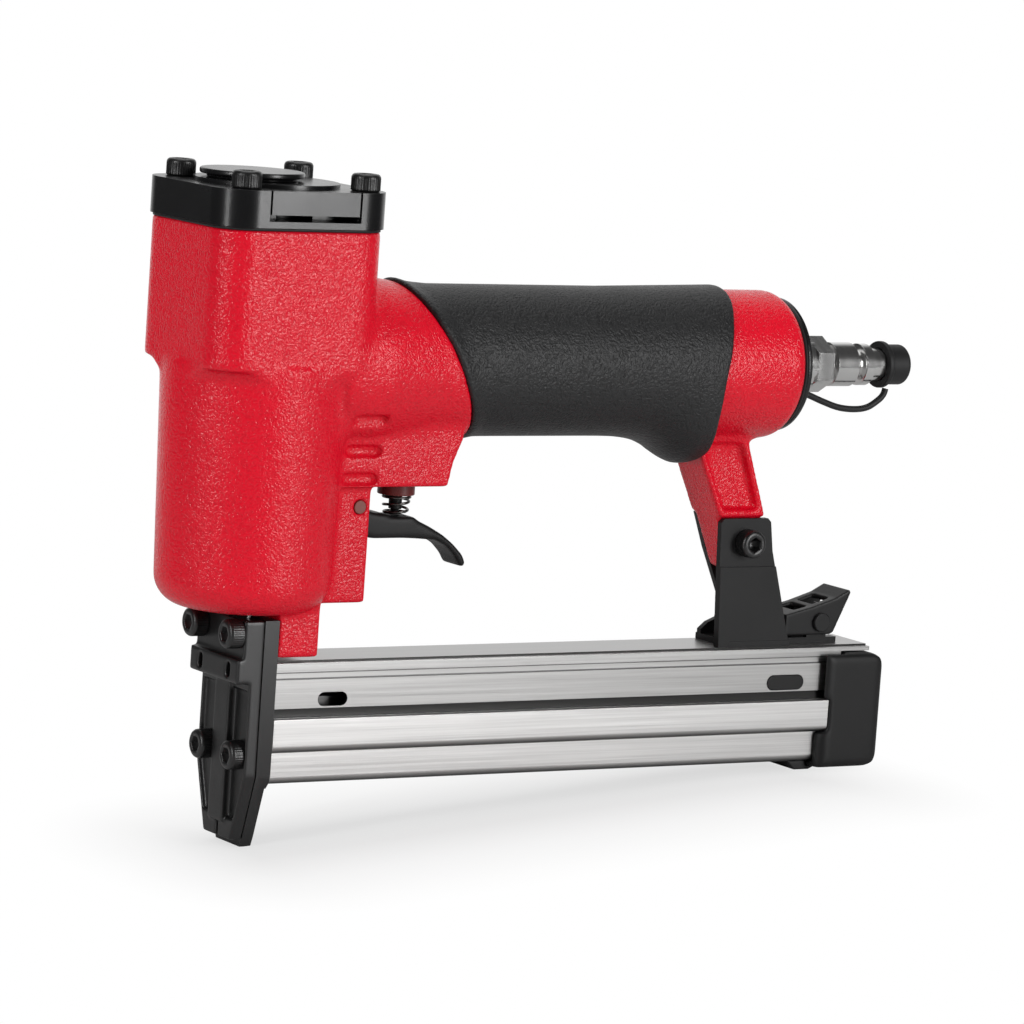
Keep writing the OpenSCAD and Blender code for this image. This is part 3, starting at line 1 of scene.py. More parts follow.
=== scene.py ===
"""Looks of an air-driven upholstery stapler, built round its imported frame.

Metres, in the frame's own axes; a size in millimetres is multiplied by MM.
"""

import math

import bmesh
import bpy
import numpy as np
from bpy.props import FloatProperty, FloatVectorProperty, IntProperty, PointerProperty
from mathutils import Matrix, Vector


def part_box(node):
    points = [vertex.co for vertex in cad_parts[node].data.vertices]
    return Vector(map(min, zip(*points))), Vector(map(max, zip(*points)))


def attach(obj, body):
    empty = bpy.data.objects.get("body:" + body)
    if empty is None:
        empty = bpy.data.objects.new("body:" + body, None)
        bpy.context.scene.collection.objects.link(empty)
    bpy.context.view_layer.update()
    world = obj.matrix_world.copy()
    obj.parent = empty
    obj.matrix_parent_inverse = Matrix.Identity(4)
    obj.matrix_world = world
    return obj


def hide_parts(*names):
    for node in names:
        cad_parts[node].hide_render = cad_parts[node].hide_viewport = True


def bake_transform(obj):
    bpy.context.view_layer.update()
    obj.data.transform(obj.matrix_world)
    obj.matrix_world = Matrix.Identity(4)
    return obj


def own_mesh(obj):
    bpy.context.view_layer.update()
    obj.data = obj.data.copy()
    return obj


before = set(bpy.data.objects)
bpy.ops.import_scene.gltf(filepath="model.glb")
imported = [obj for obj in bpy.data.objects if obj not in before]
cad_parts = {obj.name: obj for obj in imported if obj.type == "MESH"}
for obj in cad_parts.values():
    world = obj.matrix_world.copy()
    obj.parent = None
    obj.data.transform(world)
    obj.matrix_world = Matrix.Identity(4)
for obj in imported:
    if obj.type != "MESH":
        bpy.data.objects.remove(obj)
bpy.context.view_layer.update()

bl_info = {
    "name": "Upholstery stapler",
    "version": (1, 0, 0),
    "blender": (4, 5, 0),
    "location": "3D View > Sidebar > Stapler",
    "description": "Dresses the pieces of an air-driven upholstery stapler and sets its studio",
    "category": "Object",
}

MM = 0.001

# how the solids' meshes are cleaned and rounded
WELD = 1e-6  # points nearer than this become one
FLAT = math.radians(0.5)  # faces that turn less than this become one
SHARP = math.radians(32)  # edges that turn more than this are rounded
EDGE_STEPS = 3
TINY = 1e-20  # keeps a length of zero from dividing

# the long bends of a folded sheet
BEND_LENGTH = 40 * MM  # shorter edges are cuts
BEND_TURN = 1.0  # radians at least
BEND_ROOM = 1.2  # roundings that fit on the faces beside a bend
BEND_STEPS = 6


def colour_prop(name, description, default):
    """A colour that a user may change."""
    return FloatVectorProperty(name=name, description=description, default=default, subtype="COLOR",
                               size=3, min=0, max=1)


def length_prop(name, description, millimetres):
    """A length that a user may change, given here in millimetres."""
    return FloatProperty(name=name, description=description, default=millimetres * MM, unit="LENGTH",
                         precision=5, min=0)


def power_prop(name, description, watts):
    """A lamp's power that a user may change."""
    return FloatProperty(name=name, description=description, default=watts, unit="POWER", min=0)


def angle_prop(name, description, degrees):
    """An angle that a user may change, given here in degrees."""
    return FloatProperty(name=name, description=description, default=math.radians(degrees), subtype="ANGLE")


def level_prop(name, description, default):
    """A share of full white that a user may change."""
    return FloatProperty(name=name, description=description, default=default, subtype="FACTOR", min=0, max=1)


class StaplerFinishes(bpy.types.PropertyGroup):
    """Colours of the finishes."""

    coat_red: colour_prop("Coat red", "Wrinkle coat of the casting", (0.7, 0.003, 0.0185))
    cap_black: colour_prop("Cap black", "Satin coat of the cap and the inlet cap", (0.0055, 0.0055, 0.006))
    grip_black: colour_prop("Grip black", "Grained rubber of the grip", (0.0135, 0.0135, 0.014))
    oxide_black: colour_prop("Oxide black", "Blackened steel of nose and bolts", (0.0035, 0.0035, 0.0037))
    plastic_black: colour_prop("Plastic black", "Moulded end cap and trigger, painted bracket and latch",
                               (0.0085, 0.0085, 0.0088))
    rubber_black: colour_prop("Rubber black", "Dust cap, tether, foot and seals", (0.0105, 0.0105, 0.011))
    stainless: colour_prop("Stainless", "Brushed sheet of the magazine", (0.62, 0.616, 0.609))
    nickel: colour_prop("Nickel", "Bright plating of the air plug", (0.66, 0.657, 0.65))
    spring: colour_prop("Spring steel", "Wire of the springs, the rod and the blade", (0.46, 0.455, 0.45))
    dark_spring: colour_prop("Dark spring", "Wire of the trigger's spring", (0.13, 0.125, 0.12))
    pin_brown: colour_prop("Pin brown", "Head of the trigger's pin", (0.2, 0.055, 0.042))
    alloy: colour_prop("Alloy", "Turned cylinder sleeve and piston", (0.62, 0.63, 0.65))
    valve_brown: colour_prop("Valve brown", "Moulded body of the trigger valve", (0.13, 0.018, 0.016))


class StaplerSizes(bpy.types.PropertyGroup):
    """Sizes of the surface detail."""

    wrinkle_cell: length_prop("Wrinkle cell", "Pitch of the wrinkle coat", 1.25)
    wrinkle_depth: length_prop("Wrinkle depth", "Depth of the wrinkle coat", 0.145)
    grain_cell: length_prop("Grain cell", "Pitch of the grip's grain", 1.35)
    grain_depth: length_prop("Grain depth", "Depth of the grip's grain", 0.17)
    sheet_bend: length_prop("Sheet bend", "Outer rounding of the sliding channel's bends", 2.3)
    sheet_edge: length_prop("Sheet edge", "Rounding of the magazine's cut edges", 0.25)
    rail_half: length_prop("Rail half width", "From the middle to the upper rail's polished sides", 10.9)
    plate_edge: length_prop("Plate edge", "Rounding of the steel plates' edges", 0.4)
    knurl_depth: length_prop("Knurl depth", "Depth of the ribs round a bolt head", 0.14)
    knurl_count: IntProperty(name="Knurl count", description="Ribs round a bolt head", default=36, min=3)


class StaplerStage(bpy.types.PropertyGroup):
    """Camera, lamps and floor."""

    floor_white: colour_prop("Floor", "Colour of the floor", (0.6, 0.6, 0.6))
    world_level: level_prop("Sky level", "Light from all round", 0.4)
    front_level: level_prop("Front level", "What shines back from the camera's side of the room", 0.06)
    key_power: power_prop("Key", "Power of the strip lamp at the front", 8)
    fill_power: power_prop("Fill", "Power of the strip lamp at the side", 12.5)
    top_power: power_prop("Top", "Power of the lamp above", 6)
    camera_turn: angle_prop("Turn", "Camera's place round the tool", -32.6)
    camera_lift: angle_prop("Lift", "Camera's height angle", 7.04)
    camera_roll: angle_prop("Roll", "Camera's roll about its axis", 3.99)
    camera_reach: length_prop("Reach", "Camera's distance from its target", 1531.1)
    camera_lens: FloatProperty(name="Lens", description="Focal length in millimetres", default=182.02, min=1)


def finishes():
    """The colours that are set in this scene."""
    return bpy.context.scene.stapler_finishes


def sizes():
    """The sizes of surface detail that are set in this scene."""
    return bpy.context.scene.stapler_sizes


# Shader maths


class Value:
    """A node's output. Sums, differences, products and abs() of values add Math nodes."""

    def __init__(self, graph, socket):
        self.graph = graph
        self.socket = socket

    def _math(self, operation, a, b):
        return self.graph.node("Math", {"operation": operation}, {0: a, 1: b})

    def __add__(self, other):
        return self._math("ADD", self, other)

    def __radd__(self, other):
        return self._math("ADD", other, self)

    def __sub__(self, other):
        return self._math("SUBTRACT", self, other)

    def __rsub__(self, other):
        return self._math("SUBTRACT", other, self)

    def __mul__(self, other):
        return self._math("MULTIPLY", self, other)

    def __rmul__(self, other):
        return self._math("MULTIPLY", other, self)

    def __abs__(self):
        return self.graph.node("Math", {"operation": "ABSOLUTE"}, {0: self})


class Graph:
    """A node tree, with one method that adds any node."""

    def __init__(self, owner):
        owner.use_nodes = True
        self.tree = owner.node_tree
        self.tree.nodes.clear()

    def node(self, kind, settings=None, inputs=None, out=0):
        """Adds a node: its settings first, then the values or links of its sockets."""
        made = self.tree.nodes.new("ShaderNode" + kind)
        for key, value in (settings or {}).items():
            if key == "stops":
                self._stops(made.color_ramp, value)
            else:
                setattr(made, key, value)
        for key, value in (inputs or {}).items():
            if isinstance(value, Value):
                self.tree.links.new(value.socket, made.inputs[key])
            else:
                made.inputs[key].default_value = value
        return Value(self, made.outputs[out]) if made.outputs else None

    @staticmethod
    def _stops(ramp, stops):
        """Sets a ramp's stops, each a place and a level of grey."""
        while len(ramp.elements) < len(stops):
            ramp.elements.new(0.5)
        for element, (place, level) in zip(ramp.elements, stops):
            element.position = place
            element.color = (level, level, level, 1)

    def place(self, scale=(1, 1, 1)):
        """Where a point is on the object, in metres, stretched by scale."""
        where = self.node("TexCoord", out="Object")
        if scale == (1, 1, 1):
            return where
        return self.node("VectorMath", {"operation": "MULTIPLY"}, {0: where, 1: scale})

    def along(self, axis, vector):
        """A vector's part along X, Y or Z."""
        return self.node("SeparateXYZ", None, {0: vector}, out=axis)

    def noise(self, where, scale, detail=2.0, rough=0.5):
        """Soft random change from 0 to 1."""
        return self.node("TexNoise", None,
                         {"Vector": where, "Scale": scale, "Detail": detail, "Roughness": rough})

    def ramp(self, value, *stops):
        """A value led through stops, each a place and a level."""
        return self.node("ValToRGB", {"stops": stops}, {0: value})

    def tint(self, amount, low, high):
        """A colour between two, each red, green and blue or a value."""
        low, high = (c if isinstance(c, Value) else (*c, 1) for c in (low, high))
        return self.node("Mix", {"data_type": "RGBA"}, {0: amount, 6: low, 7: high}, out=2)

    def bump(self, height, depth):
        """The normal of a surface that stands out by depth where height is 1."""
        return self.node("Bump", None, {"Height": height, "Distance": depth})

    def surface(self, **inputs):
        """The tree's shader; an underscore stands for the space in a socket's name."""
        names = {key.replace("_", " "): value for key, value in inputs.items()}
        shader = self.node("BsdfPrincipled", None, names)
        self.node("OutputMaterial", None, {"Surface": shader})


# Finishes


def scaled(colour, factor):
    """A lighter or darker shade of a colour."""
    return tuple(min(1.0, c * factor) for c in colour)


def coat_red(g):
    """Semi-gloss powder coat with a fine leathery wrinkle of short bent ridges."""
    cell = sizes().wrinkle_cell
    where = g.place()
    worms = ridges(g, where, 1 / cell) * 0.7 + ridges(g, where, 1.7 / cell) * 0.3
    broad = g.noise(where, 45.0, 3.0)
    red = finishes().coat_red
    # Ridge tops are painted lighter, a painted highlight standing in for the coat's sparkle; the broad part
    # is random tone.
    base = g.tint(worms * 0.8 + broad * 0.2, scaled(red, 0.86), scaled(red, 1.08))
    g.surface(Base_Color=base, Roughness=0.2 + broad * 0.08, Specular_IOR_Level=0.36,
              Normal=g.bump(worms, sizes().wrinkle_depth))


def ridges(g, where, scale):
    """Short bent ridges, 0 in the creases and 1 on top."""
    away = abs(g.noise(where, scale, 1.0, 0.4) - 0.5)
    return g.ramp(1 - away * 5.0, (0.0, 0.0), (0.95, 1.0))


def satin(g, colour, rough, grain, depth, variation=0.25, gloss=0.4):
    """A satin coat: a fine even tooth and slight broad change in gloss."""
    where = g.place()
    tooth = g.noise(where, 1 / grain, 3.0, 0.6)
    broad = g.noise(where, 60.0, 3.0)
    base = g.tint(broad, scaled(colour, 1 - variation), scaled(colour, 1 + variation))
    g.surface(Base_Color=base, Roughness=rough - 0.06 + broad * 0.12, Specular_IOR_Level=gloss,
              Normal=g.bump(tooth, depth))


def cap_black(g):
    """Satin coat of the cap, smooth enough to show the lamps as bands."""
    satin(g, finishes().cap_black, rough=0.26, grain=0.28 * MM, depth=0.012 * MM, gloss=0.5)


def oxide_black(g):
    """Blackened steel: soft cloudy gloss and faint machining tooth."""
    where = g.place()
    cloud = g.noise(where, 130.0, 4.0, 0.6)
    tooth = g.noise(where, 2600.0, 2.0)
    colour = finishes().oxide_black
    base = g.tint(cloud, scaled(colour, 0.65), scaled(colour, 1.5))
    g.surface(Base_Color=base, Roughness=0.3 + cloud * 0.18, Specular_IOR_Level=0.7,
              Normal=g.bump(tooth, 0.02 * MM))


def paint_black(g):
    """Thin black paint on the bracket and the latch."""
    satin(g, finishes().plastic_black, rough=0.4, grain=0.35 * MM, depth=0.015 * MM, gloss=0.28)


def plastic_black(g):
    """Moulded plastic with a fine tooth."""
    satin(g, finishes().plastic_black, rough=0.46, grain=0.35 * MM, depth=0.025 * MM, gloss=0.28)


def valve_brown(g):
    """Smooth moulded plastic of the trigger's valve."""
    satin(g, finishes().valve_brown, rough=0.4, grain=0.4 * MM, depth=0.01 * MM)


def rubber_black(g):
    """Soft black rubber."""
    satin(g, finishes().rubber_black, rough=0.52, grain=0.5 * MM, depth=0.02 * MM)


def grip_black(g):
    """Matte rubber with a fine leather grain."""
    cell = sizes().grain_cell
    where = g.place()
    grain = ridges(g, where, 1 / cell) * 0.7 + ridges(g, where, 2.1 / cell) * 0.3
    broad = g.noise(where, 70.0, 3.0)
    colour = finishes().grip_black
    base = g.tint(grain * 0.7 + broad * 0.3, scaled(colour, 0.6), scaled(colour, 1.3))
    g.surface(Base_Color=base, Roughness=0.4 + broad * 0.12, Specular_IOR_Level=0.42,
              Normal=g.bump(grain, sizes().grain_depth))


def brushed(g, colour, rough, along, painted_shade=0.0):
    """Metal brushed along one axis; the last argument says where painted shade darkens it almost to black.
    """

    def streaks(across, lengthwise):
        scale = [across] * 3
        scale[along] = lengthwise
        return g.place(tuple(scale))

    lines = g.noise(streaks(1700.0, 14.0), 1.0, 3.0, 0.65)
    bands = g.noise(streaks(420.0, 7.0), 1.0, 2.0)
    bright = g.tint(lines * 0.75 + bands * 0.25, scaled(colour, 0.6), scaled(colour, 1.25))
    base = g.tint(painted_shade, bright, scaled(colour, 0.08))
    g.surface(Base_Color=base, Metallic=1.0, Roughness=rough - 0.06 + lines * 0.14 + bands * 0.05,
              Normal=g.bump(lines, 0.016 * MM))


def stainless(g):
    """Sheet with painted shade on the faces that turn downward, at its bends and under its step."""
    up = g.along("Z", g.node("NewGeometry", out="Normal"))
    # painted shade: faces that turn downward are darkened almost to black
    under = g.ramp(0 - up, (0.1, 0.0), (0.75, 0.85))
    # painted light: the channel's steel is made lighter than the rail's copy of the same steel
    brushed(g, scaled(finishes().stainless, 1.12), rough=0.3, along=0, painted_shade=under)


def rail_steel(g):
    """The same sheet, with painted shade in its grooves, on faces that turn to the front or back and along
    two groove edges; the top is left out.
    """
    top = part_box("upper_rail")[1].z
    groove_depth = 0.7 * MM
    shade_lines = (top - 3.35 * MM, top - 5.15 * MM)
    shade_line_half = 0.2 * MM
    roof_thickness = 1 * MM
    spot = g.place()
    facing = g.node("NewGeometry", out="True Normal")
    side, height = abs(g.along("Y", spot)), g.along("Z", spot)
    ahead, up = abs(g.along("X", facing)), g.along("Z", facing)

    def below(value, limit):
        return g.node("Math", {"operation": "LESS_THAN"}, {0: value, 1: limit})

    # painted shade: groove floors and faces turned along the rail go dark, and thin dark lines are painted
    # at the groove edges
    sunk = below(side, sizes().rail_half - groove_depth) + (1 - below(ahead, 0.5))
    upper, lower = (below(abs(height - level), shade_line_half) for level in shade_lines)
    roof = (1 - below(up, 0.5)) * (1 - below(height, top - roof_thickness))
    dark = (sunk + (upper + lower) * 0.7) * (1 - roof)
    painted_shade = g.node("Math", {"operation": "MINIMUM"}, {0: dark, 1: 1.0})
    # painted shade: the rail's steel is made darker than the channel's copy of the same steel
    brushed(g, scaled(finishes().stainless, 0.72), rough=0.3, along=0, painted_shade=painted_shade)


def core_steel(g):
    """Oiled steel of the core that the staples ride on."""
    brushed(g, scaled(finishes().stainless, 0.2), rough=0.36, along=0)


def alloy(g):
    """Turned light alloy."""
    brushed(g, finishes().alloy, rough=0.32, along=1)


def spring_steel(g):
    """Bright drawn steel."""
    brushed(g, finishes().spring, rough=0.28, along=2)


def dark_spring(g):
    """Oiled wire of the trigger's spring."""
    brushed(g, finishes().dark_spring, rough=0.3, along=2)


def pin_brown(g):
    """Browned steel with an uneven face."""
    satin(g, finishes().pin_brown, rough=0.42, grain=0.5 * MM, depth=0.06 * MM, variation=0.4)


def nickel(g):
    """Bright plated metal with faint turning marks round the axis."""
    turning = g.noise(g.place((900.0, 60.0, 60.0)), 1.0, 2.0)
    cloud = g.noise(g.place(), 160.0, 3.0)
    colour = finishes().nickel
    base = g.tint(cloud, scaled(colour, 0.86), scaled(colour, 1.1))
    g.surface(Base_Color=base, Metallic=1.0, Roughness=0.12 + turning * 0.1 + cloud * 0.06,
              Normal=g.bump(turning, 0.006 * MM))


def finish_of(maker):
    """The material of one finish, made once."""
    name = "stapler." + maker.__name__
    found = bpy.data.materials.get(name)
    if found is None:
        found = bpy.data.materials.new(name)
        maker(Graph(found))
    return found


# Meshes


def piece(name, mesh, finish, body, slot, *nodes):
    """A new piece that rides on a body and stands for CAD nodes."""
    made = bpy.data.objects.new(name, mesh)
    bpy.context.scene.collection.objects.link(made)
    mesh.materials.clear()
    mesh.materials.append(finish_of(finish))
    if body:
        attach(made, body)
    if nodes:
        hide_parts(*nodes)
    return made


def smooth(mesh):
    """Shades a mesh smoothly."""
    mesh.polygons.foreach_set("use_smooth", [True] * len(mesh.polygons))
    return mesh


def shell_mesh(name, shell):
    """A bmesh as a mesh with its faces turned outward."""
    bmesh.ops.recalc_face_normals(shell, faces=shell.faces)
    mesh = bpy.data.meshes.new(name)
    shell.to_mesh(mesh)
    shell.free()
    return smooth(mesh)


def join_rings(shell, rings):
    """Faces between each ring of points and the next."""
    for low, high in zip(rings, rings[1:]):
        for k in range(len(low)):
            n = (k + 1) % len(low)
            shell.faces.new((low[k], low[n], high[n], high[k]))


def welded(node):
    """A CAD node's mesh as a bmesh with its shared points joined."""
    shell = bmesh.new()
    shell.from_mesh(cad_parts[node].data)
    bmesh.ops.remove_doubles(shell, verts=shell.verts, dist=WELD)
    return shell


def voxel_copy(node, voxel):
    """A copy of a CAD node's mesh, made again of even quads."""
    name = node + ".voxels"
    shell = welded(node)
    source = bpy.data.meshes.new(name)
    shell.to_mesh(source)
    shell.free()
    made = bpy.data.objects.new(name, source)
    bpy.context.scene.collection.objects.link(made)
    remesh = made.modifiers.new("voxels", "REMESH")
    remesh.mode = "VOXEL"
    remesh.voxel_size = voxel
    view = bpy.context.evaluated_depsgraph_get()
    mesh = bpy.data.meshes.new_from_object(made.evaluated_get(view))
    bpy.data.objects.remove(made)
    return mesh


def ramp(values, start, end):
    """From 0 at start to 1 at end; start may be the larger."""
    return np.clip((values - start) / (end - start), 0, 1)


def neighbours(a, b, count):
    """How many edges meet at each point; edges join a to b."""
    return np.maximum(np.bincount(a, minlength=count) + np.bincount(b, minlength=count), 1)[:, None]


def around(points, a, b, degree):
    """How far each point is from the middle of its neighbours."""
    count = len(points)
    total = np.empty_like(points)
    for k in range(3):
        total[:, k] = np.bincount(a, points[b, k], count) + np.bincount(b, points[a, k], count)
    return total / degree - points


def fill_hollows(points, a, b, faces, weight, steps, rate=0.8):
    """Moves points out of hollow corners, as far as weight lets them. Points without weight stay."""
    moving = weight > 0
    near = moving.copy()
    near[a[moving[b]]] = True
    near[b[moving[a]]] = True
    index = np.cumsum(near) - 1
    kept = near[a] & near[b]
    a, b = index[a[kept]], index[b[kept]]
    faces = index[faces[near[faces].all(1)]]
    corners = faces.ravel()
    spots, share = points[near], weight[near][:, None]
    count = len(spots)
    degree = neighbours(a, b, count)
    for _ in range(steps):
        across = np.cross(spots[faces[:, 2]] - spots[faces[:, 0]], spots[faces[:, 3]] - spots[faces[:, 1]])
        normal = np.stack([np.bincount(corners, np.repeat(part, 4), count) for part in across.T], 1)
        normal /= np.linalg.norm(normal, axis=1, keepdims=True) + TINY
        pull = around(spots, a, b, degree)
        hollow = (pull * normal).sum(1, keepdims=True) > 0
        spots += rate * share * hollow * pull
    points[near] = spots


def points_of(mesh):
    """A mesh's points as rows of an array."""
    points = np.zeros(len(mesh.vertices) * 3)
    mesh.vertices.foreach_get("co", points)
    return points.reshape(-1, 3)


def move_points(mesh, points):
    """Sets a mesh's points from rows of an array."""
    mesh.vertices.foreach_set("co", points.ravel())
    mesh.update()
    return mesh


def relax(mesh, steps, rate=0.5, fills=()):
    """Evens a dense mesh of quads: hollows fill up first, as fills say, and then all of it is smoothed."""
    points = points_of(mesh)
    ends = np.zeros(len(mesh.edges) * 2, np.int64)
    mesh.edges.foreach_get("vertices", ends)
    a, b = ends[0::2], ends[1::2]
    if fills:
        corners = np.zeros(len(mesh.loops), np.int64)
        mesh.loops.foreach_get("vertex_index", corners)
        for weight, passes in fills:
            fill_hollows(points, a, b, corners.reshape(-1, 4), weight(points), passes)
    degree = neighbours(a, b, len(points))
    for _ in range(steps):
        points += rate * around(points, a, b, degree)
    return smooth(move_points(mesh, points))


def tube_mesh(name, path, radius, sides, side_of):
    """A round tube along points, closed at both ends."""
    shell = bmesh.new()
    rings = []
    for i, point in enumerate(path):
        along = (path[min(i + 1, len(path) - 1)] - path[max(i - 1, 0)]).normalized()
        across = side_of.cross(along).normalized()
        up = along.cross(across)
        rings.append([shell.verts.new(point + radius * (math.cos(t) * across + math.sin(t) * up))
                      for t in (2 * math.pi * k / sides for k in range(sides))])
    join_rings(shell, rings)
    shell.faces.new(rings[0][::-1])
    shell.faces.new(rings[-1])
    return shell_mesh(name, shell)


def smooth_route(points, steps):
    """A curve through points."""
    last = len(points) - 1
    line = []
    for i in range(last):
        a, b, c, d = points[max(i - 1, 0)], points[i], points[i + 1], points[min(i + 2, last)]
        for k in range(steps):
            t = k / steps
            line.append(0.5 * (2 * b + (c - a) * t + (2 * a - 5 * b + 4 * c - d) * t * t
                               + (3 * b - a - 3 * c + d) * t ** 3))
    return line + [points[-1]]


def softened(node, name, finish, body, slot, voxel, steps):
    """A piece with a CAD node's form and soft moulded edges."""
    piece(name, relax(voxel_copy(node, voxel), steps), finish, body, slot, node)


def round_edges(made, edge):
    """Rounds an object's sharp edges and keeps its flats flat."""
    bevel = made.modifiers.new("edges", "BEVEL")
    bevel.width = edge
    bevel.segments = EDGE_STEPS
    bevel.limit_method = "ANGLE"
    bevel.angle_limit = SHARP
    bevel.miter_outer = "MITER_ARC"
    normals = made.modifiers.new("normals", "WEIGHTED_NORMAL")
    normals.keep_sharp = True


def bent_sheet(node, name, finish, body, slot, bend, edge):
    """A piece with a CAD node's form: its long outer bends are well rounded and its cut edges a little."""
    shell = welded(node)
    bmesh.ops.dissolve_limit(shell, angle_limit=FLAT, verts=shell.verts, edges=shell.edges)

    def width(face, line):
        start = line.verts[0].co
        along = (line.verts[1].co - start).normalized()
        reach = [v.co - start for v in face.verts]
        return max((r - along * r.dot(along)).length for r in reach)

    def is_bend(line):
        return (len(line.link_faces) == 2 and line.calc_length() > BEND_LENGTH
                and line.calc_face_angle_signed() > BEND_TURN
                and min(width(face, line) for face in line.link_faces) > BEND_ROOM * bend)

    bends = [line for line in shell.edges if is_bend(line)]
    bmesh.ops.bevel(shell, geom=bends, offset=bend, segments=BEND_STEPS, affect="EDGES", profile=0.5)
    made = piece(name, shell_mesh(name, shell), finish, body, slot, node)
    round_edges(made, edge)


def dress(node, finish, edge=0.0):
    """Gives a CAD node its finish and, with an edge, rounds its sharp edges."""
    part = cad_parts[node]
    part.data.materials.clear()
    part.data.materials.append(finish_of(finish))
    if "custom_normal" in part.data.attributes:
        part.data.attributes.remove(part.data.attributes["custom_normal"])
    smooth(part.data)
    weld = part.modifiers.new("weld", "WELD")
    weld.merge_threshold = WELD
    flat = part.modifiers.new("flats", "DECIMATE")
    flat.decimate_type = "DISSOLVE"
    flat.angle_limit = FLAT
    if edge:
        round_edges(part, edge)


# Operators


class StaplerOperator:
    """What all the operators share."""

    bl_options = {"REGISTER", "UNDO"}


class STAPLER_OT_stage(StaplerOperator, bpy.types.Operator):
    """Camera, lamps, sky and floor"""

    bl_idname = "stapler.stage"
    bl_label = "Studio"

    # name, width and height, place; in metres
    LAMPS = (
        ("key", (0.09, 0.9), (-1.28, -0.3, 0.5)),
        ("fill", (0.4, 0.9), (0.65, -1.35, 0.4)),
        ("top", (1.1, 1.1), (0.2, 0.25, 1.45)),
    )
    LAMP_AIM = Vector((90, 0, 95)) * MM

    TARGET = Vector((92, 0, 105)) * MM
    LEFT_OF_TARGET = 2.17 * MM
    BELOW_TARGET = 9.51 * MM
    SENSOR_WIDTH = 36.0

    FLOOR_HALF = 0.6
    FLOOR_STRIPS = 240
    FLOOR_BEND = 40 * MM
    FLOOR_GAP = 0.2 * MM
    # where the shadow is kept: its middle, half its length and the fade beyond it, in metres
    SHADOW_ALONG = (0.095, 0.095, 0.05)
    SHADOW_ACROSS = (-0.01, 0.012, 0.07)
    SHADOW_FADE = ((0.0, 0.66), (0.4, 0.84), (0.8, 0.96), (1.0, 1.0))

    BACKDROP_SIDE = (0.54, 0.84, 0)
    BACKDROP_START, BACKDROP_FULL = 0.6, 0.9

    def execute(self, context):
        scene, stage = context.scene, context.scene.stapler_stage
        self.camera(scene, stage)
        self.floor(scene, stage)
        self.sky(scene, stage)
        for name, size, spot in self.LAMPS:
            lamp = bpy.data.lights.new(name, "AREA")
            lamp.energy = getattr(stage, name + "_power")
            lamp.shape = "RECTANGLE"
            lamp.size, lamp.size_y = size
            made = bpy.data.objects.new(name, lamp)
            made.location = spot
            made.rotation_mode = "QUATERNION"
            made.rotation_quaternion = (self.LAMP_AIM - Vector(spot)).to_track_quat("-Z", "Y")
            scene.collection.objects.link(made)
        scene.view_settings.view_transform = "Standard"
        return {"FINISHED"}

    def camera(self, scene, stage):
        """A camera that looks a little beside its target, with some roll."""
        turn, lift = stage.camera_turn, stage.camera_lift
        back = Vector((math.sin(turn) * math.cos(lift), -math.cos(turn) * math.cos(lift), math.sin(lift)))
        spot = self.TARGET + back * stage.camera_reach
        right = Vector((math.cos(turn), math.sin(turn), 0))
        up = back.cross(right)
        c, s = math.cos(stage.camera_roll), math.sin(stage.camera_roll)
        right, up = c * right + s * up, c * up - s * right
        aim = self.TARGET - right * self.LEFT_OF_TARGET - up * self.BELOW_TARGET
        back = (spot - aim).normalized()
        right = up.cross(back).normalized()
        up = back.cross(right)
        data = bpy.data.cameras.new("camera")
        data.lens = stage.camera_lens
        data.sensor_width = self.SENSOR_WIDTH
        made = bpy.data.objects.new("camera", data)
        made.matrix_world = Matrix.Translation(spot) @ Matrix((right, up, back)).transposed().to_4x4()
        scene.collection.objects.link(made)
        scene.camera = made

    def floor(self, scene, stage):
        """A floor that rises from the nose tip to the rear foot and runs level behind it."""
        low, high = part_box("rear_foot")
        foot, bend = (low.x + high.x) / 2, self.FLOOR_BEND
        slope = low.z / (foot - bend / 2)
        shell = bmesh.new()
        bmesh.ops.create_grid(shell, x_segments=self.FLOOR_STRIPS, y_segments=1, size=self.FLOOR_HALF)
        for vert in shell.verts:
            past = min(max(vert.co.x - foot + bend, 0.0), bend)
            rise = min(vert.co.x, foot - bend) + past - past * past / (2 * bend)
            vert.co.z = slope * rise - self.FLOOR_GAP
        mesh = shell_mesh("floor", shell)
        mesh.materials.append(self.floor_paint(stage))
        made = bpy.data.objects.new("floor", mesh)
        scene.collection.objects.link(made)

    def floor_paint(self, stage):
        """Pale paint that keeps the shadow near the tool and fades to the white background."""
        paint = bpy.data.materials.new("floor")
        g = Graph(paint)
        where = g.place()

        def beyond(axis, middle, half, fade):
            away = abs(g.along(axis, where) - middle)
            return g.node("Math", {"operation": "MAXIMUM"}, {0: (away - half) * (1 / fade), 1: 0.0})

        ends, sides = beyond("X", *self.SHADOW_ALONG), beyond("Y", *self.SHADOW_ACROSS)
        away = g.node("Math", {"operation": "SQRT"}, {0: ends * ends + sides * sides})
        far = g.ramp(away, *self.SHADOW_FADE)
        colour = g.tint(g.noise(where, 30.0), scaled(stage.floor_white, 0.99), stage.floor_white)
        lit = g.node("BsdfDiffuse", None, {"Color": colour})
        white = g.node("Emission", None, {"Color": (1, 1, 1, 1), "Strength": 1.0})
        seen = g.node("LightPath", out="Is Camera Ray")
        shader = g.node("MixShader", None, {0: far * seen, 1: lit, 2: white})
        g.node("OutputMaterial", None, {"Surface": shader})
        return paint

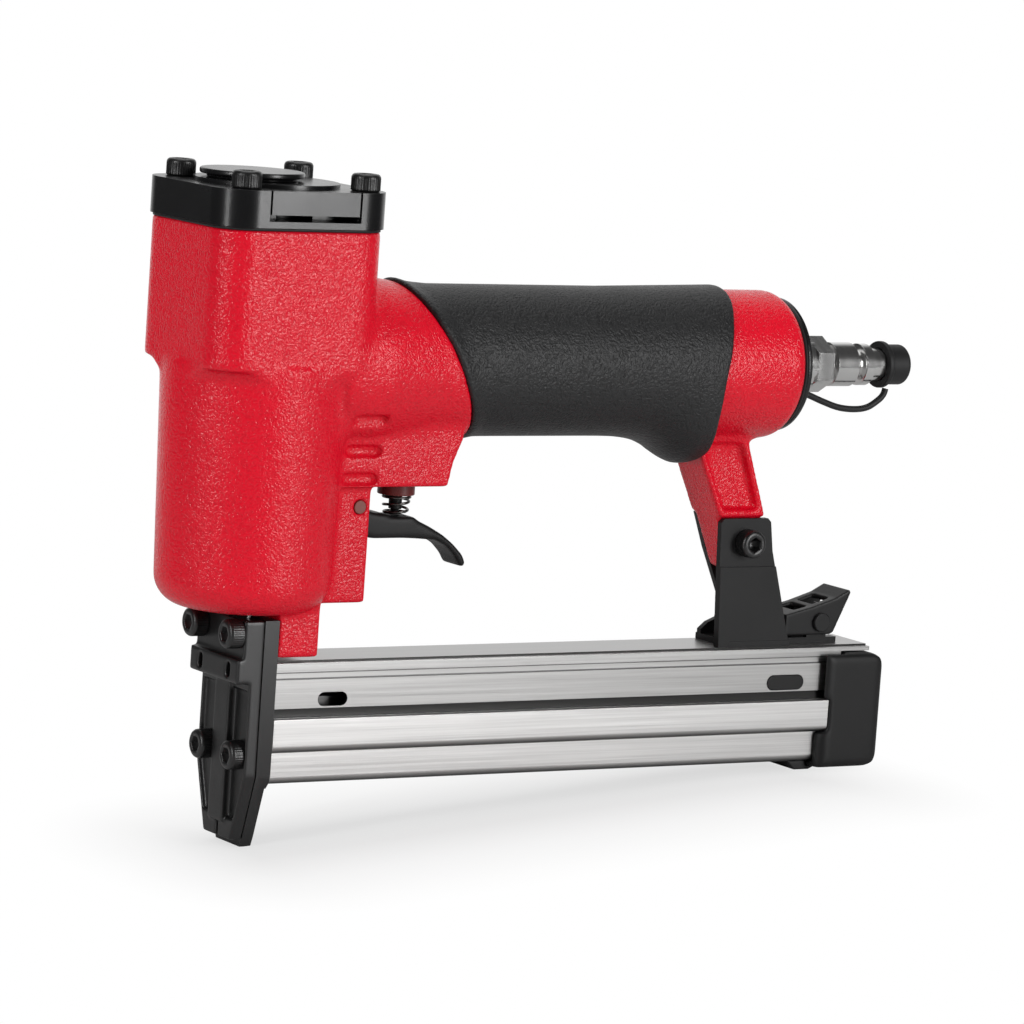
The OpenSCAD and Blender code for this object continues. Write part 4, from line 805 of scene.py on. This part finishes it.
    def sky(self, scene, stage):
        """Soft light from all round, with a white backdrop behind the tool and a darker room before it."""
        world = bpy.data.worlds.new("sky")
        scene.world = world
        g = Graph(world)
        seen, glossy, through = (g.node("LightPath", out=f"Is {kind} Ray")
                                 for kind in ("Camera", "Glossy", "Transmission"))
        behind = g.node("VectorMath", {"operation": "DOT_PRODUCT"},
                        {0: g.node("TexCoord", out="Generated"), 1: self.BACKDROP_SIDE}, out="Value")
        backdrop = g.ramp(behind, (self.BACKDROP_START, stage.front_level), (self.BACKDROP_FULL, 1.0))
        soft = g.node("Background", None, {"Color": (1, 1, 1, 1), "Strength": stage.world_level})
        white = g.node("Background", None, {"Color": seen + (1 - seen) * backdrop, "Strength": 1.0})
        shader = g.node("MixShader", None, {0: seen + glossy + through, 1: soft, 2: white})
        g.node("OutputWorld", None, {"Surface": shader})


class STAPLER_OT_tether(StaplerOperator, bpy.types.Operator):
    """Rubber tether from the ring on the plug to the dust cap"""

    bl_idname = "stapler.tether"
    bl_label = "Tether"

    # the route as X and Z, and its sizes, in millimetres
    ROUTE = ((186, 131.8), (189, 131.6), (192, 130.8), (197, 129), (203, 127.2), (209, 126.6), (214, 127.2),
             (218, 129.4), (219.8, 131.2), (220.4, 133))
    SIDEWAYS = -4
    DIAMETER = 2
    SIDES = 16
    STEPS = 6

    def execute(self, context):
        points = [Vector((x, self.SIDEWAYS, z)) * MM for x, z in self.ROUTE]
        line = smooth_route(points, self.STEPS)
        length = sum((b - a).length for a, b in zip(line, line[1:]))
        mesh = tube_mesh("tether", line, self.DIAMETER / 2 * MM, self.SIDES, Vector((0, 1, 0)))
        made = piece("tether", mesh, rubber_black, None, "grip_rubber", "cap_tether")
        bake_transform(made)
        return {"FINISHED"}


class STAPLER_OT_casting(StaplerOperator, bpy.types.Operator):
    """Red casting with its blended corners"""

    bl_idname = "stapler.casting"
    bl_label = "Casting"

    VOXEL = 0.6 * MM
    SMOOTHING = 8
    # zones: what is measured, where the zone starts and where it is full, in millimetres
    ROOT = (("x", 8, 24), ("x", 75, 60), ("z", 118, 126))
    HANDLE = (("x", 125, 135), ("z", 110, 113))
    LEG = (("x", 127, 132), ("z", 113, 110))
    VENTS = (("x", 22, 24), ("x", 39, 37), ("z", 102, 104), ("z", 129, 127), ("side", 10, 12))
    BARREL_REAR = (("x", 0, 20),)
    BESIDE_ROOT = (("x", 9, 18), ("x", 40, 34), ("z", 115, 119), ("z", 148, 143), ("side", 5, 8))
    BEFORE_VENTS = (("x", 23, 20),)
    ABOVE_VENTS = (("z", 127.5, 130),)
    BEHIND_LEG = (("leg", 167.4, 168.6), ("z", 104, 108), ("z", 128, 124))
    LEG_SLANT = 0.35
    LEG_Z = 116
    # how far a hollow corner may fill in one pass, and the number of passes
    BARREL_FILL = 0.04
    BARREL_REAR_FILL = 0.1
    SOFT_FILL = 0.41
    LEG_LESS = 0.86
    CAST_PASSES = 50
    DEEP_PASSES = 240

    def zone(self, points, limits):
        """0 outside a zone and 1 well inside it."""
        x, y, z = points.T / MM
        measures = {"x": x, "z": z, "side": np.abs(y), "leg": x + self.LEG_SLANT * (z - self.LEG_Z)}
        share = np.ones(len(points))
        for measure, start, full in limits:
            share = share * ramp(measures[measure], start, full)
        return share

    def cast_corners(self, points):
        """Where all hollow corners fill up a little: round the head and the handle, hardly in the leg."""
        barrel = self.BARREL_FILL + self.BARREL_REAR_FILL * self.zone(points, self.BARREL_REAR)
        soft = self.SOFT_FILL * np.maximum(self.zone(points, self.ROOT), self.zone(points, self.HANDLE))
        off_leg = 1 - self.LEG_LESS * self.zone(points, self.LEG)
        return (barrel + soft) * off_leg * (1 - self.zone(points, self.VENTS))

    def deep_corners(self, points):
        """The wide hollows between the barrel and the root, clear of the vents, and behind the leg."""
        off_vents = np.maximum(self.zone(points, self.BEFORE_VENTS), self.zone(points, self.ABOVE_VENTS))
        root = self.zone(points, self.BESIDE_ROOT) * off_vents
        return np.maximum(root, self.zone(points, self.BEHIND_LEG))

    def execute(self, context):
        mesh = voxel_copy("body_casting", self.VOXEL)
        fills = ((self.cast_corners, self.CAST_PASSES), (self.deep_corners, self.DEEP_PASSES))
        relax(mesh, self.SMOOTHING, fills=fills)
        piece("casting", mesh, coat_red, "tool", "red_coat", "body_casting")
        return {"FINISHED"}


class STAPLER_OT_grip(StaplerOperator, bpy.types.Operator):
    """Grained rubber grip with a lip in front and a beak that runs down over the leg"""

    bl_idname = "stapler.grip"
    bl_label = "Grip"

    # in millimetres: edges seen from the side, as X and Z from the bottom up, and the underside
    FRONT = ((67, 110), (66.8, 116), (66.5, 120), (62.5, 128), (57.6, 137.4), (53, 147.3), (47.5, 157),
             (43, 164.6), (40, 170))
    REAR = ((145, 109.4), (148.6, 110.6), (150.8, 113.6), (150.2, 118), (148.8, 126), (148.6, 137),
            (150.2, 146), (152.8, 155), (157, 163.5), (160, 170))
    UNDER = ((112, 118.3), (122, 118.1), (130, 117), (136, 114.8), (140, 112.4), (143.5, 110.6),
             (147, 109.9), (160, 109.9))
    AXIS_Z = 140.6
    RADIUS = 22.3
    CORE_R = 19.5
    FLARE_X = 56
    FLARE = 0.075
    REAR_FLARE_X = 115
    REAR_FLARE = 0.022
    LIP = 0.8
    LIP_L = 3.5
    EDGE_R = 1.3
    TUCK = 0.4
    # steps of the mesh, and of the search for the edges from a first guess, well behind the lip
    AROUND = 200
    ALONG = 110
    ROLL = 6
    CURVE_STEPS = 8
    SEARCH_STEPS = 12
    FRONT_GUESS = 60.0
    REAR_GUESS = 150.0
    OFF_LIP = 9.0

    def curve(self, points):
        """A smooth line through points, as an array."""
        return np.array(smooth_route([Vector(p) for p in points], self.CURVE_STEPS))

    def reach(self, x, turn, from_front):
        """How far the rubber stands from the axis, to the side and up or down."""
        under = self.curve(self.UNDER)
        r = (self.RADIUS + np.maximum(self.FLARE_X - x, 0) * self.FLARE
             + np.maximum(x - self.REAR_FLARE_X, 0) * self.REAR_FLARE)
        r = r + self.LIP * np.exp(-(from_front / self.LIP_L) ** 2)
        deep = np.maximum(self.AXIS_Z - np.interp(x, under[:, 0], under[:, 1]), r)
        return r, np.where(np.cos(turn) < 0, deep, r)

    def edge(self, line, guess, turn):
        """Where the rubber ends all round, as X, so that it follows a line seen from the side."""
        x = np.full(self.AROUND, guess)
        for _ in range(self.SEARCH_STEPS):
            _, tall = self.reach(x, turn, np.full(self.AROUND, self.OFF_LIP))
            x = 0.5 * x + 0.5 * np.interp(self.AXIS_Z + tall * np.cos(turn), line[:, 1], line[:, 0])
        return x

    def ring(self, x, wide, tall, turn):
        """Points round the handle, wide to the sides and tall up and down."""
        return np.stack((x, wide * np.sin(turn), self.AXIS_Z + tall * np.cos(turn)), 1)

    def execute(self, context):
        turn = np.linspace(0, 2 * np.pi, self.AROUND, endpoint=False)
        front = self.edge(self.curve(self.FRONT), self.FRONT_GUESS, turn)
        rear = self.edge(self.curve(self.REAR), self.REAR_GUESS, turn)
        # one row of points per step: up from the front edge, along the rubber, down into the rear edge
        roll = [(self.EDGE_R * (1 - np.cos(b)), self.EDGE_R * (1 - np.sin(b)))
                for b in np.linspace(0, np.pi / 2, self.ROLL)]
        rolled_in = [(front + along, drop) for along, drop in roll]
        rolled_out = [(rear - along, drop) for along, drop in reversed(roll)]
        first, last = rolled_in[-1][0], rolled_out[0][0]
        flat = [(first + (last - first) * t, 0.0) for t in np.linspace(0, 1, self.ALONG)[1:-1]]
        rings = []
        for x, drop in rolled_in + flat + rolled_out:
            wide, tall = self.reach(x, turn, x - front)
            rings.append(self.ring(x, wide - drop, tall - drop, turn))
        for x in (rear - self.TUCK, front + self.TUCK):
            rings.append(self.ring(x, self.CORE_R, self.CORE_R, turn))
        shell = bmesh.new()
        rings = [[shell.verts.new(Vector(p) * MM) for p in ring] for ring in rings]
        join_rings(shell, rings + rings[:1])
        piece("grip", shell_mesh("grip", shell), grip_black, "tool", "grip_rubber", "grip_sleeve")
        return {"FINISHED"}


class STAPLER_OT_cap(StaplerOperator, bpy.types.Operator):
    """Cap, its gasket and the exhaust cover"""

    bl_idname = "stapler.cap"
    bl_label = "Cap"

    def execute(self, context):
        dress("cap_gasket", rubber_black)
        dress("top_cap", cap_black, edge=0.5 * MM)
        dress("exhaust_cover", cap_black, edge=0.5 * MM)
        return {"FINISHED"}


class STAPLER_OT_bolts(StaplerOperator, bpy.types.Operator):
    """Socket screws with ribbed heads"""

    bl_idname = "stapler.bolts"
    bl_label = "Bolts"

    # sizes in millimetres
    HEAD_R = 4.25
    HEAD_H = 5.0
    SHANK_R = 2.4
    SHANK_TIP = 0.8
    KEY_R = 2.31
    KEY_DEPTH = 2.5
    KEY_TIP = 0.8
    STEPS_PER_RIB = 4
    # the head's side: height above the seat or depth below the top, how far in, and share of the ribs
    FOOT = ((0.0, 0.4, 0), (0.4, 0.0, 0.2), (0.8, 0.0, 1))
    CROWN = ((1.5, 0.0, 1), (1.1, 0.0, 0.2), (0.8, 0.06, 0), (0.35, 0.32, 0), (0.08, 0.72, 0),
             (0.0, 1.15, 0))
    # the key's wall: depth below the top, then its size against KEY_R
    KEY = ((0.0, 1.08), (0.25, 1.0), (KEY_DEPTH, 1.0))

    def screw(self, shell, turn, shank):
        """One screw: turn takes the origin to its seat and Z to its axis."""
        ribs, depth = sizes().knurl_count, sizes().knurl_depth / MM
        steps = ribs * self.STEPS_PER_RIB
        place = turn @ Matrix.Scale(MM, 4)
        sixth = math.pi / 6

        def ring(height, reach):
            made = []
            for t in (2 * math.pi * k / steps for k in range(steps)):
                spot = Vector((reach(t) * math.cos(t), reach(t) * math.sin(t), height))
                made.append(shell.verts.new(place @ spot))
            return made

        def ribbed(radius, share):
            return lambda t: radius - share * depth * (0.5 - 0.5 * math.cos(ribs * t))

        def hexagon(size):
            flat = size * self.KEY_R * math.cos(sixth)
            return lambda t: flat / math.cos((t + sixth) % (2 * sixth) - sixth)

        rings = [ring(height, ribbed(self.SHANK_R, 0)) for height in (self.SHANK_TIP - shank, 0.0)]
        side = [*self.FOOT, *((self.HEAD_H - down, inset, share) for down, inset, share in self.CROWN)]
        rings += [ring(height, ribbed(self.HEAD_R - inset, share)) for height, inset, share in side]
        rings += [ring(self.HEAD_H - down, hexagon(size)) for down, size in self.KEY]
        join_rings(shell, rings)
        for rim, height in ((rings[0], -shank), (rings[-1], self.HEAD_H - self.KEY_DEPTH - self.KEY_TIP)):
            tip = shell.verts.new(place @ Vector((0, 0, height)))
            for k in range(steps):
                shell.faces.new((rim[k], rim[(k + 1) % steps], tip))

    @staticmethod
    def each(node, a, b):
        """The boxes of a node's four screws, one on each side of its middle along two axes."""
        points = np.array([v.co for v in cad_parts[node].data.vertices]) / MM
        beyond = points > (points.min(0) + points.max(0)) / 2
        for quarter in ((False, False), (False, True), (True, False), (True, True)):
            own = points[(beyond[:, [a, b]] == quarter).all(1)]
            yield Vector(own.min(0)), Vector(own.max(0))

    def group(self, name, places, node):
        """A node's screws as one piece; each place is a turn and a shank's length."""
        shell = bmesh.new()
        for turn, shank in places:
            self.screw(shell, turn, shank)
        piece(name, shell_mesh(name, shell), oxide_black, "tool", "black_steel", node)

    def execute(self, context):
        upright = []
        for low, high in self.each("cap_bolts", 0, 1):
            seat = Vector(((low.x + high.x) / 2, (low.y + high.y) / 2, high.z - self.HEAD_H))
            upright.append((Matrix.Translation(seat * MM), seat.z - low.z))
        self.group("cap_screws", upright, "cap_bolts")
        to_front = Matrix.Rotation(-math.pi / 2, 4, "Y")
        forward = []
        for low, high in self.each("nose_bolts", 1, 2):
            seat = Vector((low.x + self.HEAD_H, (low.y + high.y) / 2, (low.z + high.z) / 2))
            forward.append((Matrix.Translation(seat * MM) @ to_front, high.x - seat.x))
        self.group("nose_screws", forward, "nose_bolts")
        low, high = (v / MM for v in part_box("bracket_bolt"))
        to_side = Matrix.Rotation(math.pi / 2, 4, "X")
        seat = Vector(((low.x + high.x) / 2, low.y + self.HEAD_H, (low.z + high.z) / 2))
        sideways = [(Matrix.Translation(seat * MM) @ to_side, high.y - seat.y)]
        self.group("bracket_screw", sideways, "bracket_bolt")
        return {"FINISHED"}


class STAPLER_OT_springs(StaplerOperator, bpy.types.Operator):
    """Wire springs wound in the place of the CAD springs"""

    bl_idname = "stapler.springs"
    bl_label = "Springs"

    # in millimetres: node, joint, body, axis, turns, wire, first and last radius, travel, end that stays
    COILS = (
        ("trigger_spring", "trigger_pull", "tool", 2, 3, 0.8, 3.35, 4.05, 3.8, 1),
        ("head_valve_spring", "head_valve_lift", "tool", 2, 4.5, 1.2, 12.4, 12.4, 4.0, 1),
        ("pusher_spring", "pusher_travel", "magazine", 0, 32, 0.7, 2.3, 2.3, 150.0, 1),
        ("latch_spring", "latch_press", "tool", 2, 6, 0.7, 2.1, 2.1, 0.9, 0),
    )
    STEPS_PER_TURN = 24
    SIDES = 10
    END_ROOM = 1.15  # wire thicknesses that the line along the wire is shorter than the spring
    FLAT_TURNS = 0.6  # turns at each end that lie almost flat
    FLAT_RISE = 0.12  # share of the rise that these turns keep
    EVEN_TURNS = 10  # a spring with more turns rises evenly
    LEAST_KEEP = 0.05

    def rise(self, t, turns):
        """Height along the spring, from 0 to 1, at a share t of its turns."""
        if turns > self.EVEN_TURNS:
            return t
        steep = min(max((t * turns - self.FLAT_TURNS) / (turns - 2 * self.FLAT_TURNS), 0.0), 1.0)
        return self.FLAT_RISE * t + (1 - self.FLAT_RISE) * steep

    def execute(self, context):
        for node, joint, body, axis, turns, wire, first, last, travel, still in self.COILS:
            low, high = (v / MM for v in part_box(node))
            middle = (low + high) / 2
            room = high[axis] - low[axis]
            start, length = low[axis] + wire * self.END_ROOM / 2, room - wire * self.END_ROOM
            across, up = (axis + 1) % 3, (axis + 2) % 3
            count = int(turns * self.STEPS_PER_TURN)
            line = []
            for t in (i / count for i in range(count + 1)):
                angle, r = 2 * math.pi * turns * t, first + (last - first) * t
                spot = middle.copy()
                spot[axis] = start + length * self.rise(t, turns)
                spot[across] += r * math.cos(angle)
                spot[up] += r * math.sin(angle)
                line.append(spot * MM)
            side = Vector((0, 0, 0))
            side[axis] = 1
            mesh = tube_mesh(node, line, wire / 2 * MM, self.SIDES, side)
            steel = dark_spring if node == "trigger_spring" else spring_steel
            made = piece(node.replace("spring", "coil"), mesh, steel, body, "spring_steel", node)
            anchor = middle * MM
            anchor[axis] = (high if still else low)[axis] * MM
            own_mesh(made)
        return {"FINISHED"}


class STAPLER_OT_trigger(StaplerOperator, bpy.types.Operator):
    """Trigger, its pin and its valve"""

    bl_idname = "stapler.trigger"
    bl_label = "Trigger"

    def execute(self, context):
        softened("trigger", "trigger_lever", plastic_black, "trigger", "black_plastic",
                 voxel=0.4 * MM, steps=40)
        dress("trigger_pin", pin_brown, edge=0.3 * MM)
        dress("trigger_valve_body", valve_brown, edge=0.3 * MM)
        dress("valve_stem", plastic_black, edge=0.2 * MM)
        dress("trigger_valve_seals", rubber_black)
        return {"FINISHED"}


class STAPLER_OT_inlet(StaplerOperator, bpy.types.Operator):
    """Inlet cap, air plug and dust cap"""

    bl_idname = "stapler.inlet"
    bl_label = "Air inlet"

    def execute(self, context):
        dress("inlet_gasket", rubber_black)
        dress("inlet_cap", cap_black, edge=0.4 * MM)
        dress("air_plug", nickel, edge=0.22 * MM)
        dress("tether_ring", rubber_black, edge=0.5 * MM)
        dress("dust_cap", rubber_black, edge=0.5 * MM)
        return {"FINISHED"}


class STAPLER_OT_nose(StaplerOperator, bpy.types.Operator):
    """Front and rear plates of the nose"""

    bl_idname = "stapler.nose"
    bl_label = "Nose"

    VOXEL = 0.35 * MM
    SMOOTHING = 8
    BLADE_GAP = 0.23 * MM

    def clear_blade(self, mesh):
        """Takes points out of the blade's way, to the floor or the nearer wall of its channel."""
        low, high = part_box("driver_blade")
        floor, wall = low.x - self.BLADE_GAP, high.y + self.BLADE_GAP
        points = points_of(mesh)
        above, inside = points[:, 0] - floor, wall - np.abs(points[:, 1])
        within = (above > 0) & (inside > 0)
        down, out = within & (above <= inside), within & (above > inside)
        points[down, 0] = floor
        points[out, 1] = np.sign(points[out, 1]) * wall
        move_points(mesh, points)

    def execute(self, context):
        mesh = relax(voxel_copy("nose_front_plate", self.VOXEL), self.SMOOTHING)
        self.clear_blade(mesh)
        piece("nose_casting", mesh, oxide_black, "tool", "black_steel", "nose_front_plate")
        dress("nose_rear_plate", oxide_black, edge=sizes().plate_edge)
        return {"FINISHED"}


class STAPLER_OT_magazine(StaplerOperator, bpy.types.Operator):
    """Rail, sliding channel and what they hold"""

    bl_idname = "stapler.magazine"
    bl_label = "Magazine"

    def execute(self, context):
        edge = sizes().sheet_edge
        dress("upper_rail", rail_steel, edge=edge)
        bent_sheet("lower_channel", "channel", stainless, "magazine", "stainless", sizes().sheet_bend, edge)
        dress("staple_core", core_steel, edge=0.3 * MM)
        dress("side_pads", plastic_black, edge=0.3 * MM)
        dress("pusher", oxide_black, edge=0.2 * MM)
        dress("spring_rod", spring_steel, edge=0.2 * MM)
        softened("end_cap", "end_block", plastic_black, "magazine", "black_plastic",
                 voxel=0.5 * MM, steps=8)
        dress("rear_foot", rubber_black, edge=0.6 * MM)
        return {"FINISHED"}


class STAPLER_OT_latch(StaplerOperator, bpy.types.Operator):
    """Support bracket, latch lever and its pin"""

    bl_idname = "stapler.latch"
    bl_label = "Bracket and latch"

    def execute(self, context):
        dress("support_bracket", paint_black, edge=sizes().plate_edge)
        softened("latch_lever", "latch", paint_black, "latch", "black_steel", voxel=0.3 * MM, steps=6)
        dress("latch_pin", paint_black, edge=0.3 * MM)
        return {"FINISHED"}


class STAPLER_OT_works(StaplerOperator, bpy.types.Operator):
    """Cylinder, piston, blade and head valve inside the casting"""

    bl_idname = "stapler.works"
    bl_label = "Works"

    def execute(self, context):
        for node in ("cylinder_sleeve", "piston"):
            dress(node, alloy, edge=0.2 * MM)
        for node in ("driver_blade", "driver_pin"):
            dress(node, spring_steel, edge=0.1 * MM)
        dress("head_valve", plastic_black, edge=0.3 * MM)
        for node in ("cylinder_seals", "bumper", "piston_seal", "head_valve_seal"):
            dress(node, rubber_black)
        return {"FINISHED"}


MAKERS = (
    STAPLER_OT_stage, STAPLER_OT_tether, STAPLER_OT_casting, STAPLER_OT_grip, STAPLER_OT_cap,
    STAPLER_OT_bolts, STAPLER_OT_springs, STAPLER_OT_trigger, STAPLER_OT_inlet, STAPLER_OT_nose,
    STAPLER_OT_magazine, STAPLER_OT_latch, STAPLER_OT_works,
)


class STAPLER_PT_pieces(bpy.types.Panel):
    """The stapler's pieces, finishes and studio"""

    bl_idname = "STAPLER_PT_pieces"
    bl_label = "Upholstery stapler"
    bl_space_type = "VIEW_3D"
    bl_region_type = "UI"
    bl_category = "Stapler"

    def draw(self, context):
        for maker in MAKERS:
            self.layout.operator(maker.bl_idname)
        scene = context.scene
        for group in (scene.stapler_finishes, scene.stapler_sizes, scene.stapler_stage):
            for name in group.__annotations__:
                self.layout.prop(group, name)


CLASSES = (StaplerFinishes, StaplerSizes, StaplerStage, *MAKERS, STAPLER_PT_pieces)


def register():
    for c in CLASSES:
        bpy.utils.register_class(c)
    bpy.types.Scene.stapler_finishes = PointerProperty(type=StaplerFinishes)
    bpy.types.Scene.stapler_sizes = PointerProperty(type=StaplerSizes)
    bpy.types.Scene.stapler_stage = PointerProperty(type=StaplerStage)


def unregister():
    del bpy.types.Scene.stapler_stage
    del bpy.types.Scene.stapler_sizes
    del bpy.types.Scene.stapler_finishes
    for c in reversed(CLASSES):
        bpy.utils.unregister_class(c)


def main():
    register()
    for maker in MAKERS:
        group, name = maker.bl_idname.split(".")
        getattr(getattr(bpy.ops, group), name)()


if __name__ == "__main__":
    main()
